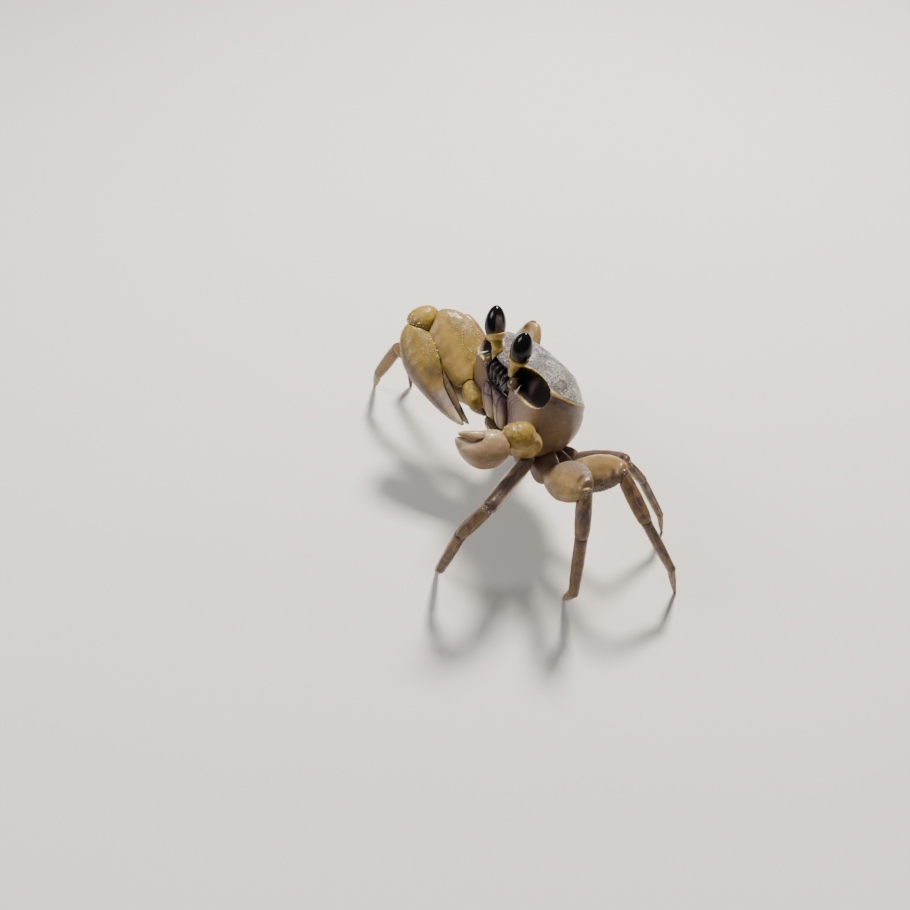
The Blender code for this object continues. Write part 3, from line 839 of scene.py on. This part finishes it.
def paint_shell(piece, hollow, deep):
    body = to_body(points_of(piece))
    x, y, z = body.T
    wide, above, inside = shell_measures(body)
    ahead = ramp(-8.5, -10.5, y)
    back = ramp(-0.15, 0.25, above)
    ridge = bump(0.05, 1.0, above / (0.22 + 0.32 * ramp(-6.0, -10.5, y)))
    ridge *= ramp(8.0, 10.5, wide) * ramp(5.5, 3.0, y) * ramp(1.10, 1.2, inside)
    orbit = bump(1.12, 0.055 + 0.03 * (1 - ramp(2.2, 0.2, z)), inside)
    orbit *= ahead * ramp(5.8, 4.8, z) * ramp(3.0, 4.5, wide)
    brow = 0.8 * bump(2.5, 0.22, wide) * ramp(1.4, 2.2, z) * ramp(5.0, 4.2, z) * ahead
    lilac = ramp(3.2, 1.8, wide) * ramp(-10.5, -12.0, y) + 0.5 * ramp(-6.0, -10.0, y) * back
    paint(
        piece,
        back=back * (1 - 0.9 * hollow),
        lilac=np.clip(lilac, 0, 1),
        rim=np.clip(np.maximum(np.maximum(ridge, orbit), brow), 0, 1),
        # Where the eye sockets' painted shade goes, browner towards their tops.
        socket=deep,
        socket_glow=ramp(2.4, 4.4, z),
        mouth=np.clip(hollow * 1.4, 0, 1),
        face=ramp(10.5, 5.0, wide) * ramp(-1.0, -6.0, y),
        belly=0.7 * ramp(-7.5, -10.5, z) * ramp(2.0, 7.0, wide),
        # A darker band on the side walls just under the ridge.
        eaves=ramp(-5.0, -0.3, above) * ramp(1.05, 1.5, inside + ramp(-8.0, -4.0, y)),
        # Painted shade in the fine folds beside the mouth.
        fold=0.7 * cheek_folds(x, y, z, inside) * (1 - deep),
    )


class CRAB_OT_shell(Operator):
    """Makes the carapace with its ridges, eye sockets and granular back"""

    bl_idname = "crab.shell"
    bl_label = "Carapace"

    def execute(self, context):
        piece = fine_form("carapace_shell", "carapace", 12, context.scene.crab_body.shell_grain)
        hollow, deep = shape_shell(piece)
        smooth(piece, 1)
        paint_shell(piece, hollow, deep)
        finish_piece(piece, shell_material(), "carapace", "carapace")
        return {"FINISHED"}


def bead_template(name):
    """A small smooth grain, flat underneath."""
    bpy.ops.mesh.primitive_ico_sphere_add(subdivisions=1, radius=MM)
    bead = bpy.context.object
    bead.name = name
    with editing(bead):
        bpy.ops.mesh.bisect(
            plane_co=(0, 0, -0.3 * MM), plane_no=(0, 0, 1), clear_inner=True, use_fill=True
        )
        bpy.ops.mesh.select_all(action="SELECT")
        bpy.ops.transform.translate(value=(0, 0, 0.1 * MM))
    return bead


def bead_places(shell, path, sizes):
    """Places for beads on a surface, near a path of body points."""
    places = []
    for point, size in zip(path, sizes):
        _, near, normal, _ = shell.closest_point_on_mesh(Vector(from_body(point) * MM))
        places.append((np.array(near) / MM, axes_along(normal, (0.3, 0.2, 0.9)) * size))
    return places


class CRAB_OT_ridge_beads(Operator):
    """Strings cream granules along the shell's side ridges and below the eye sockets"""

    bl_idname = "crab.ridge_beads"
    bl_label = "Ridge beads"

    def execute(self, context):
        shell = bpy.data.objects["carapace_shell"]
        bead = bead_template("bead")
        run = np.arange(-10.8, 4.0, 0.36)
        reach = np.interp(run, (-10.9, -6.0, -1.4, 2.5, 4.2), (14.4, 14.8, 14.3, 12.0, 10.4))
        ridge = [(x + 0.3, y, ridge_height(x, y)) for x, y in zip(reach, run)]
        ridge_sizes = 0.12 + 0.04 * np.sin(run * 5.3)
        turns = np.radians(np.arange(198, 343, 4.0))
        across = SOCKET[0] + 1.08 * SOCKET_HALF[0] * np.cos(turns)
        height = SOCKET[2] + 1.08 * SOCKET_HALF[2] * np.sin(turns)
        orbit = [(x, -13.8, z) for x, z in zip(across, height)]
        for side, sign in SIDES.items():
            places = bead_places(shell, mirrored(sign, ridge), ridge_sizes)
            places += bead_places(shell, mirrored(sign, orbit), np.full(len(turns), 0.12))
            piece = scatter(f"ridge_beads_{side}", bead, places)
            finish_piece(piece, plain_material("Ridge bead", "rim", "rim_light"), "carapace")
        discard(bead)
        return {"FINISHED"}


# Face and underside

# Dark folds on the left: corners of each fold's path, its radii and its flatness
FOLDS = (
    (((0.5, -11.4, 1.2), (0.9, -12.0, 0.1), (1.1, -11.9, -1.5), (0.7, -11.2, -3.3)),
     (0.35, 0.62, 0.62, 0.35), 0.8),
    (((2.2, -11.4, 1.1), (2.7, -12.0, 0.0), (2.5, -11.8, -1.6), (1.9, -11.0, -3.4)),
     (0.35, 0.70, 0.66, 0.35), 0.8),
    (((4.2, -11.4, 0.9), (4.5, -11.9, -0.6), (4.1, -11.6, -2.2), (3.2, -10.9, -3.7)),
     (0.35, 0.60, 0.55, 0.30), 0.9),
)
# Parts of a left antenna: name, corners of its path, radii, flatness, lean, shades, roughness
FEELERS = (
    ("base", ((5.0, -10.6, 1.2), (5.2, -11.6, 0.4), (5.5, -11.7, -0.9), (5.6, -10.9, -1.8)),
     (0.6, 1.15, 1.2, 0.7), 0.9, 0.2, ((0.10, 0.055, 0.022), (0.17, 0.105, 0.05)), 0.22),
    ("blade", ((7.4, -11.4, 0.9), (7.9, -11.9, 0.0), (8.4, -12.3, -0.8), (8.8, -12.4, -1.4)),
     (0.10, 0.26, 0.40, 0.32), 0.6, 0.0, ((0.42, 0.34, 0.27), (0.60, 0.53, 0.44)), 0.3),
)


def make_folds():
    """Smooth dark folds between the front lobe and the mouth."""
    folds = [
        bent_form("fold", mirrored(sign, path), radii, flat, (0.2, -1.0, 0.1))
        for sign in (-1, 1)
        for path, radii, flat in FOLDS
    ]
    shades = (0.006, 0.005, 0.006), (0.040, 0.024, 0.028)
    material = plain_material("Wet mouthparts", *shades, 0.30, 0.12, 0.0, 0.0011, 0.0006)
    finish_piece(join_up("wet_mouthparts", folds), material, "underside")


def make_feelers():
    """The round base of each antenna in its socket's inner corner, with its pale blade."""
    for side, sign in SIDES.items():
        for part, path, radii, flat, lean, shades, roughness in FEELERS:
            path = mirrored(sign, path)
            piece = bent_form(f"antenna_{part}_{side}", path, radii, flat, (0.0, -1.0, lean))
            material = plain_material(f"Antenna {part}", *shades, roughness)
            finish_piece(piece, material, "underside")


class CRAB_OT_mouth(Operator):
    """Makes the door-like mouthparts, the dark folds above them and the antennae"""

    bl_idname = "crab.mouth"
    bl_label = "Mouth"

    def execute(self, context):
        material = underside_material()
        for side, sign in SIDES.items():
            node = f"maxilliped_{side}"
            piece = fine_form(f"{node}_plate", node, 5)
            x, _, z = to_body(points_of(piece)).T
            across = sign * x
            line = bump(3.15 + 0.08 * (z + 8), 0.20, across)
            cross = bump(-6.7 - 0.25 * (across - 2.5), 0.16, z) * ramp(3.2, 2.9, across)
            palp = bump(1.25, 0.16, across) * ramp(-7.0, -6.4, z)
            seam = np.clip(line + 0.8 * cross + 0.7 * palp, 0, 1)
            press(piece, 0.26 * seam)
            pale = 0.75 * ramp(-6.8, -9.2, z) * (1 - seam)
            paint(piece, face=ramp(-9.6, -6.4, z), pale=pale, seam=seam * 0.9)
            finish_piece(piece, material, "underside", node)
        make_folds()
        make_feelers()
        return {"FINISHED"}


class CRAB_OT_underside(Operator):
    """Makes the ringed breastplate and the folded tail"""

    bl_idname = "crab.underside"
    bl_label = "Underside"

    def execute(self, context):
        material = underside_material()
        for node, gaps in (("sternum", 2.6), ("abdomen", 1.75)):
            piece = fine_form(f"{node}_plate", node, 4)
            x, y, _ = to_body(points_of(piece)).T
            wave = np.abs(((y - 0.12 * np.abs(x)) / gaps) % 1.0 - 0.5)
            seam = ramp(0.40, 0.48, wave)
            press(piece, 0.2 * seam)
            paint(piece, face=0.0, pale=0.5, seam=0.6 * seam)
            finish_piece(piece, material, "underside", node)
        return {"FINISHED"}


# Eyes


def egg_width(height):
    """Width of an eye at a height from -1 to 1: slimmer at its upper end."""
    return 1 - 0.10 * height - 0.05 * height**2


def place_globe(piece, points, axes, radius, swell=1.0):
    """Puts a unit ball's points in the eye's place, as an egg with its slimmer end up."""
    points[:, :2] *= egg_width(points[:, 2])[:, None]
    middle = axes.middle + axes.along * 0.5 * (axes.start + axes.end)
    rows = np.array([axes.broad * radius, axes.high * radius, 0.5 * axes.along * axes.length])
    move_points(piece, points @ (rows * swell) + middle)
    close_up(piece)


def make_globe(name, axes, radius, sign):
    """The eye itself, with a low welt where the stalk's skin runs up it."""
    globe = ball(name, 72, 48)
    points = points_of(globe)
    height = points[:, 2].copy()
    flat = points[:, :2] / np.maximum(np.linalg.norm(points[:, :2], axis=1), 1e-6)[:, None]
    facing = flat @ np.array([axes.broad, axes.high]) @ from_body_way((-sign * 0.985, -0.17, 0))
    strip = ramp(0.90, 0.955, facing) * ramp(0.60, 0.30, height)
    place_globe(globe, points * (1 + 0.03 * strip)[:, None], axes, radius)
    paint(globe, strip=strip, glow=0.6 * ramp(0.0, -0.9, height))
    return globe


def make_cup(name, axes, radius, sign):
    """A shallow yellow cup that holds the lower end of a cornea."""
    cup = ball(name, 48, 32)
    with editing(cup):
        bpy.ops.mesh.bisect(
            plane_co=(0, 0, CUP_EDGE * MM), plane_no=(0, 0, 1), clear_outer=True, use_fill=False
        )
    apply_modifier(cup, "SOLIDIFY", thickness=CUP_WALL * MM, offset=0.0)
    points = points_of(cup)
    height = points[:, 2].copy()
    size = np.linalg.norm(points, axis=1)
    inner = np.array([axes.broad, axes.high]) @ from_body_way((-sign * 0.85, 0.5, 0))
    points[:, 2] += 0.25 * (points[:, :2] @ inner) * ramp(-1.0, -0.6, height)
    points *= (size / np.linalg.norm(points, axis=1))[:, None]
    place_globe(cup, points, axes, radius, 1.07)
    paint(cup, along=0.0, lip=ramp(-0.9, -0.78, height))
    return cup


def make_stalk(side, axes, radius):
    """An eyestalk, drawn in where it runs through the eye, with a waist and a lip."""
    stalk = fine_form(f"eyestalk_skin_{side}", f"eyestalk_{side}", 6)
    points = points_of(stalk)
    share, _, wide = axes.measure(points)
    height = np.clip(2 * share - 1, -1, 1)
    room = radius * np.maximum(0.62, egg_width(height) * np.sqrt(1 - height**2) - 0.06)
    tuck = np.clip(wide - room, 0, None) * ramp(-0.02, 0.12, share)
    offset = points - axes.middle
    offset -= np.outer(offset @ axes.along, axes.along)
    points -= offset * (tuck / np.maximum(wide, 1e-6))[:, None]
    run = to_body(points)[:, 2]
    waist = 0.16 * bump(2.2, 0.5, run)
    move_points(stalk, points - normals_of(stalk) * waist[:, None])
    paint(stalk, along=ramp(4.2, 5.6, run), lip=0.7 * bump(2.9, 0.35, run))
    return stalk


class CRAB_OT_eyes(Operator):
    """Makes the glossy corneas, their stalks and their yellow cups"""

    bl_idname = "crab.eyes"
    bl_label = "Eyes"

    def execute(self, context):
        glass, skin = cornea_material(), stalk_material()
        for side, sign in SIDES.items():
            solid = copy_node(f"cornea_guide_{side}", f"eye_{side}")
            points = points_of(solid)
            discard(solid)
            inner, outward = from_body((sign * 3.5, -11.0, 1.2)), from_body_way((sign, 0, 0))
            axes = LimbAxes(points, inner, outward, face=from_body_way((0, 1, 0)))
            radius = np.percentile(axes.measure(points)[2], 97)
            cornea = make_globe(f"cornea_{side}", axes, radius, sign)
            finish_piece(cornea, glass, "eye", f"eye_{side}")
            finish_piece(make_cup(f"eye_cup_{side}", axes, radius, sign), skin, "stalk")
            stalk = make_stalk(side, axes, radius)
            finish_piece(stalk, skin, "stalk", f"eyestalk_{side}")
        return {"FINISHED"}


# Claws


def cone(corners, top, depth, lift):
    """A small cone that stands on the floor or just below it, measures in mm."""
    bpy.ops.mesh.primitive_cone_add(
        vertices=corners, radius1=MM, radius2=top * MM, depth=depth * MM
    )
    piece = bpy.context.object
    with editing(piece):
        bpy.ops.transform.translate(value=(0, 0, lift * MM))
    return piece


def facing_rows(points, others, shares, measured):
    """For each share along a finger, its surface point nearest to the other finger."""
    found = []
    for share in shares:
        near = np.where(np.abs(measured[0] - share) < 0.02)[0]
        if len(near) == 0:
            continue
        apart = np.linalg.norm(points[near][:, None] - others[None, ::7], axis=2).min(axis=1)
        found.append(near[int(np.argmin(apart))])
    return found


# Ridges and grooves along a claw's thigh: angle from its upper edge, width and height
CLAW_RIDGES = ((0.0, 0.24, 0.16), (math.pi, 0.3, 0.12), (math.pi - 0.7, 0.18, -0.10))
# Bead rows on each claw piece: angle round it, where the row starts and ends, and how many
BEAD_ROWS = {
    "merus": ((0.0, 0.12, 0.95, 34), (0.28, 0.4, 0.95, 18), (-0.28, 0.5, 0.95, 14)),
    "carpus": (
        (0.0, 0.72, 0.95, 5), (0.5, 0.76, 0.95, 5), (-0.5, 0.76, 0.95, 5), (1.0, 0.8, 0.95, 4),
    ),
    "manus": ((0.0, 0.06, 0.5, 24), (0.3, 0.08, 0.4, 16), (-0.3, 0.08, 0.4, 16)),
}
CLAW_MARKS = ("plate", "tip", "lilac", "grainy", "amber", "brown", "pink")


def shape_claw(part, piece, axes, large):
    """Gives a claw piece its ridges and grooves, and paints its marks."""
    points = points_of(piece)
    share, turn, _ = axes.measure(points)
    push = 0.05 * uneven(points, 1.6, 2.0)
    if part == "merus":
        body = ramp(0.05, 0.2, share) * ramp(1.0, 0.85, share)
        for middle, width, height in CLAW_RIDGES:
            push += height * around(turn, middle, width) * body
    if part == "carpus" and not large:
        push -= 0.22 * bump(0.55, 0.05, share + 0.1 * np.sin(turn)) * over_top(turn)
    if part in ("manus", "dactylus"):
        for groove in (0.9, -0.9):
            push -= 0.12 * around(turn, groove, 0.35) * ramp(0.35, 0.6, share)
    press(piece, -push)
    marks = dict.fromkeys(CLAW_MARKS, 0.0)
    marks |= claw_marks(part, large, share, turn)
    marks["lilac"] = marks["lilac"] * (1 - marks["tip"])
    paint(piece, **marks)


def over_top(turn):
    """1 round the upper part of a claw piece, fading out underneath."""
    return ramp(2.6, 1.6, np.abs(turn))


def claw_marks(part, large, share, turn):
    """How far each colour or texture of the claw's material shows."""
    level, low = np.cos(turn), around(turn, math.pi, 0.9)
    if part in ("ischium", "merus"):
        return {
            "plate": 0.9 * ramp(0.55, -0.35, level),
            "grainy": ramp(0.0, 0.75, level) * ramp(0.05, 0.2, share),
            "amber": 0.6 * low * ramp(0.5, 1.0, share),
        }
    if part == "carpus":
        grainy = ramp(0.55, 0.9, share) if large else 0.6 * ramp(0.35, 0.6, share)
        amber = (0.8 if large else 0.15) * ramp(1.0, 0.3, share)
        return {"amber": amber, "grainy": grainy * over_top(turn)}
    if part == "manus" and large:
        palm = 0.85 * around(turn, math.pi, 0.95) * ramp(0.12, 0.4, share)
        crest = around(turn, 0.0, 0.45) * ramp(0.75, 0.5, share)
        return {
            "tip": 0.8 * ramp(0.78, 0.95, share),
            "lilac": np.maximum(palm, 0.8 * ramp(0.55, 0.72, share)),
            "grainy": np.clip(0.35 * ramp(0.6, 0.3, share) + crest, 0, 1),
            "brown": 0.8 * bump(0.50, 0.10, share) * ramp(-0.6, 0.2, level),
        }
    if part == "manus":
        tip, grainy = 0.5 * ramp(0.6, 0.85, share), 0.45 * ramp(0.9, 0.5, share)
        return {"pink": 0.95, "tip": tip, "grainy": grainy}
    return {
        "lilac": 0.5 * low * (0.4 if large else 1.0),
        # On the large claw's movable finger this brown is painted shade.
        "brown": 0.95 * ramp(1.0, 0.8, share) if large else 0.0,
        "pink": 0.0 if large else 0.9,
        "tip": (0.6 if large else 0.5) * ramp(0.75, 0.95, share),
    }


def tooth_places(pieces, large):
    """Places for the teeth along the two fingers' facing edges."""
    places = []
    for part, other, low in (("manus", "dactylus", 0.58), ("dactylus", "manus", 0.2)):
        piece, axes = pieces[part]
        points, normals = points_of(piece), normals_of(piece)
        others = points_of(pieces[other][0])
        shares = np.linspace(low, 0.93, 15 if large else 8)
        for count, index in enumerate(facing_rows(points, others, shares, axes.measure(points))):
            size = (0.22 if count % 3 == 0 else 0.14) * (1.0 if large else SMALL_CLAW)
            places.append((points[index], axes_along(normals[index], axes.along) * size))
    return places


def claw_bead_places(pieces, large):
    """Places for the beads in rows along the claw's upper edges."""
    places = []
    for part, rows in BEAD_ROWS.items():
        piece, axes = pieces[part]
        points, normals = points_of(piece), normals_of(piece)
        measured = axes.measure(points)
        for angle, low, high, count in rows:
            for step, share in enumerate(np.linspace(low, high, count)):
                index = nearest(measured, share, angle + 0.09 * math.sin(7.3 * step + angle))
                size = 0.13 + 0.05 * math.sin(3.7 * step + 2 * angle)
                size *= 1.0 if large else SMALL_CLAW
                places.append((points[index], axes_along(normals[index], axes.along) * size))
    return places


class CRAB_OT_claws(Operator):
    """Makes the large raised claw and the small folded one, with their teeth and beads"""

    bl_idname = "crab.claws"
    bl_label = "Claws"

    def execute(self, context):
        material = claw_material()
        teeth = plain_material("Finger tooth", "fingertip", (0.62, 0.55, 0.42))
        beads = plain_material("Claw bead", (0.74, 0.62, 0.30), (0.86, 0.80, 0.58))
        tooth, bead = cone(8, 0.35, 1.6, 0.5), bead_template("claw_bead")
        for side in SIDES:
            pieces = {}
            large = side == "right"
            before = from_body((0, 0, -8))
            for part in CLAW_PIECES:
                node = f"claw_{part}_{side}"
                piece = fine_form(f"{node}_shell", node, 14)
                axes = LimbAxes(points_of(piece), before, np.array((0.0, 0.0, 1.0)))
                before = axes.middle
                pieces[part] = (piece, axes)
                shape_claw(part, piece, axes, large)
                finish_piece(piece, material, "claw", node)
            places = tooth_places(pieces, large)
            finish_piece(scatter(f"finger_teeth_{side}", tooth, places), teeth, "claw")
            places = claw_bead_places(pieces, large)
            finish_piece(scatter(f"claw_beads_{side}", bead, places), beads, "claw")
        discard(tooth)
        discard(bead)
        return {"FINISHED"}


# Walking legs


def bristle_template():
    """A slim curved bristle, 1.8 mm long before it is sized."""
    bristle = cone(4, 0.5, 1.0, 0.5)
    for polygon in bristle.data.polygons:
        polygon.select = polygon.normal.z > 0.9
    bpy.ops.object.mode_set(mode="EDIT")
    bpy.ops.mesh.select_mode(type="FACE")
    bpy.ops.mesh.extrude_region_move(TRANSFORM_OT_translate={"value": (0.12 * MM, 0, 0.8 * MM)})
    bpy.ops.mesh.merge(type="CENTER")
    bpy.ops.object.mode_set(mode="OBJECT")
    return bristle


# Ridges and grooves along each leg piece: angle from its upper edge, width and height
SHIN_RIDGES = ((0.5, 0.22, 0.10), (0.0, 0.2, -0.08), (2.6, 0.22, 0.09), (1.57, 0.3, -0.05))
THIGH_RIDGES = ((2.75, 0.2, 0.10), (1.35, 0.5, -0.10))
LEG_RIDGES = {"merus": THIGH_RIDGES, "carpus": SHIN_RIDGES, "propodus": SHIN_RIDGES}
# Bristle rows on each leg piece: angle from its upper edge on both sides, where the row starts
# and ends, and length share
BRISTLE_ROWS = {
    "carpus": ((0.5, 0.35, 0.95, 0.6),),
    "propodus": ((0.45, 0.08, 0.97, 1.0), (1.57, 0.3, 0.97, 0.7), (2.6, 0.1, 0.97, 1.2)),
    "dactylus": ((0.5, 0.04, 0.75, 0.8), (1.57, 0.04, 0.7, 0.6), (2.6, 0.04, 0.8, 0.9)),
}


def flat_of(node):
    """The way that the broad side of a leg's longest piece faces."""
    points = points_of(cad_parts[node])
    return np.linalg.svd(points - points.mean(axis=0), full_matrices=False)[2][2]


def shape_leg(part, pair, piece, axes):
    """Gives a leg piece its ridges and knuckles, closes its joints, and paints its marks."""
    points = points_of(piece)
    share, turn, _ = axes.measure(points)
    sides = np.abs(turn)
    body = ramp(0.02, 0.14, share) * ramp(1.0, 0.9, share)
    push = 0.03 * uneven(points, 1.1, pair)
    if part == "coxa":
        push += 0.45
    for middle, width, height in LEG_RIDGES.get(part, ()):
        push += height * around(sides, middle, width) * body
    if part == "merus":
        push += 0.20 * around(turn, 0.0, 0.2) * body * (1 + 0.4 * np.sin(share * 120))
    if part in ("carpus", "propodus") or part == "merus" and pair in SLIM_LEGS:
        push += 0.22 * bump(0.0, 0.08, share) + 0.22 * bump(1.0, 0.07, share)
    stretch = -0.3 * ramp(0.10, 0.0, share)
    if part == "dactylus":
        push += 0.07 * np.cos(6 * turn) * ramp(0.03, 0.12, share) * ramp(0.95, 0.6, share)
        push *= ramp(1.0, 0.9, share)
    else:
        stretch += 0.3 * ramp(0.90, 1.0, share)
    move_points(piece, points + normals_of(piece) * push[:, None] + axes.along * stretch[:, None])
    paint(piece, **leg_marks(part, pair, share, turn, body))


def leg_marks(part, pair, share, turn, body):
    """How far each colour or texture of the leg's material shows."""
    upper, sides = 0.5 + 0.5 * np.cos(turn), np.abs(turn)
    if part == "coxa":
        seam = 0.5 * bump(0.5, 0.035, share)
        return {"face": 0.6, "pale": 0.5 * ramp(0.6, 0.9, share), "seam": seam}
    if part == "merus":
        slim = {2: 0.45, 5: 0.85}.get(pair, 0.0)
        dusk = slim * ramp(0.35, 0.9, upper) + 0.7 * ramp(0.90, 1.0, share) * ramp(0.4, 0.9, upper)
        joint = bump(0.93, 0.03, share) * ramp(2.2, 1.0, sides) * ramp(0.3, 0.7, sides)
        return {
            "along": 0.5 * share if pair == 2 else share,
            "keel": around(turn, 0.0, 0.75) * body,
            "dusk": np.clip(dusk, 0, 1),
            "joint": 0.85 * joint,
        }
    marks = {"upper": ramp(0.30, 0.75, upper), "toe": 0.0}
    if part == "carpus":
        marks["knee"] = ramp(0.16, 0.04, share) * ramp(0.5, 0.9, upper)
    elif part == "propodus":
        marks["toe"] = 0.45 if pair == 3 else 0.0
        marks["band"] = 0.8 * bump(0.0, 0.07, share) * upper
    else:
        marks |= {"toe": 1.0, "tip": ramp(0.75, 0.98, share)}
    return marks


def bristle_places(part, pair, piece, axes):
    """Places for the bristles in rows along one leg piece."""
    bristles = bpy.context.scene.crab_bristles
    thick = 0.5 * bristles.thickness / MM
    longest = bristles.length / MM * (0.75 if pair == 5 else 1.0)
    points, normals = points_of(piece), normals_of(piece)
    measured = axes.measure(points)
    places = []
    for angle, low, high, share_of_length in BRISTLE_ROWS.get(part, ()):
        for turn in (angle, -angle):
            for step, share in enumerate(np.linspace(low, high, bristles.rows)):
                wobble = math.sin(12.9 * step + 3.1 * turn + pair)
                index = nearest(measured, share, turn + 0.12 * wobble)
                way = unit(normals[index] + axes.along * (0.9 + 0.3 * wobble))
                length = longest * share_of_length * (1 + 0.3 * wobble)
                rows = axes_along(way, axes.along) * np.c_[[thick, thick, 0.55 * length]]
                if (points[index] + way * length)[2] > CLEAR_OF_FLOOR:
                    places.append((points[index] - way * 0.05, rows))
    return places


class CRAB_OT_legs(Operator):
    """Makes the eight walking legs and their bristles"""

    bl_idname = "crab.legs"
    bl_label = "Walking legs"

    def execute(self, context):
        materials = {"merus": thigh_material(), "coxa": underside_material()}
        shin, hair = shin_material(), bristle_material()
        slots = {"coxa": "underside", "merus": "leg"}
        centre = np.array(context.scene.crab_body.place) / MM
        bristle = bristle_template()
        for side in SIDES:
            for pair in LEGS:
                before = centre
                face = flat_of(f"leg{pair}_merus_{side}")
                places = []
                for part in LEG_PIECES:
                    node = f"leg{pair}_{part}_{side}"
                    piece = fine_form(f"{node}_shell", node, 9)
                    points = points_of(piece)
                    outside = unit((points.mean(axis=0) - centre) * (1, 1, 0)) + (0, 0, 1.0)
                    axes = LimbAxes(points, before, outside, face)
                    before = axes.middle
                    shape_leg(part, pair, piece, axes)
                    places += bristle_places(part, pair, piece, axes)
                    finish_piece(piece, materials.get(part, shin), slots.get(part, "shin"), node)
                finish_piece(scatter(f"leg{pair}_bristles_{side}", bristle, places), hair, "shin")
        discard(bristle)
        return {"FINISHED"}


# Stage


def aim(obj, place, target):
    """Puts a lamp or a camera in the scene, facing a target."""
    obj.location = place
    obj.rotation_euler = (Vector(target) - Vector(place)).to_track_quat("-Z", "Y").to_euler()
    bpy.context.scene.collection.objects.link(obj)


def add_light(name, place, width, power, colour, target=(0.0, 0.0, 0.02)):
    lamp = bpy.data.lights.new(name, "AREA")
    lamp.size = width
    lamp.energy = power
    lamp.color = colour
    aim(bpy.data.objects.new(name, lamp), place, target)


class CRAB_OT_stage(Operator):
    """Sets the plain floor, the soft lights and the camera"""

    bl_idname = "crab.stage"
    bl_label = "Stage"

    def execute(self, context):
        stage = context.scene.crab_stage
        bpy.ops.mesh.primitive_plane_add(size=FLOOR_SIZE)
        floor = context.object
        floor.name = "floor"
        floor.data.materials.append(floor_material())
        world = bpy.data.worlds.new("Even light")
        world.use_nodes = True
        background = world.node_tree.nodes["Background"]
        background.inputs["Color"].default_value = (0.93, 0.95, 1.0, 1.0)
        background.inputs["Strength"].default_value = stage.sky
        context.scene.world = world
        add_light("key", (-0.22, 0.16, 0.46), 0.10, stage.key_power, (1.0, 0.95, 0.87))
        add_light("fill", (-0.115, -0.347, 0.355), 0.20, stage.fill_power, (0.95, 0.97, 1.0))
        camera = bpy.data.objects.new("camera", bpy.data.cameras.new("camera"))
        camera.data.lens = stage.lens
        camera.data.sensor_width = SENSOR
        camera.data.clip_start = NEAREST_SEEN
        aim(camera, stage.camera_place, stage.camera_aim)
        context.scene.camera = camera
        return {"FINISHED"}


# Panel, registration and the run


STEPS = (
    CRAB_OT_shell,
    CRAB_OT_ridge_beads,
    CRAB_OT_mouth,
    CRAB_OT_underside,
    CRAB_OT_eyes,
    CRAB_OT_claws,
    CRAB_OT_legs,
    CRAB_OT_stage,
)
GROUPS = {
    "crab_body": CrabBody,
    "crab_bristles": CrabBristles,
    "crab_stage": CrabStage,
    "crab_colours": CrabColours,
}


class CRAB_PT_panel(Panel):
    """Lists the crab's settings and steps"""

    bl_idname = "CRAB_PT_panel"
    bl_label = "Ghost crab"
    bl_space_type = "VIEW_3D"
    bl_region_type = "UI"
    bl_category = "Ghost crab"

    def draw(self, context):
        for name, group in GROUPS.items():
            box = self.layout.box()
            for setting in group.__annotations__:
                box.prop(getattr(context.scene, name), setting)
        for step in STEPS:
            self.layout.operator(step.bl_idname)


CLASSES = (*GROUPS.values(), *STEPS, CRAB_PT_panel)


def register():
    for kind in CLASSES:
        bpy.utils.register_class(kind)
    for name, group in GROUPS.items():
        setattr(bpy.types.Scene, name, PointerProperty(type=group))


def unregister():
    for name in GROUPS:
        delattr(bpy.types.Scene, name)
    for kind in reversed(CLASSES):
        bpy.utils.unregister_class(kind)


def main():
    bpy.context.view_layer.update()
    register()
    for step in STEPS:
        getattr(bpy.ops.crab, step.bl_idname.removeprefix("crab."))()


if __name__ == "__main__":
    main()
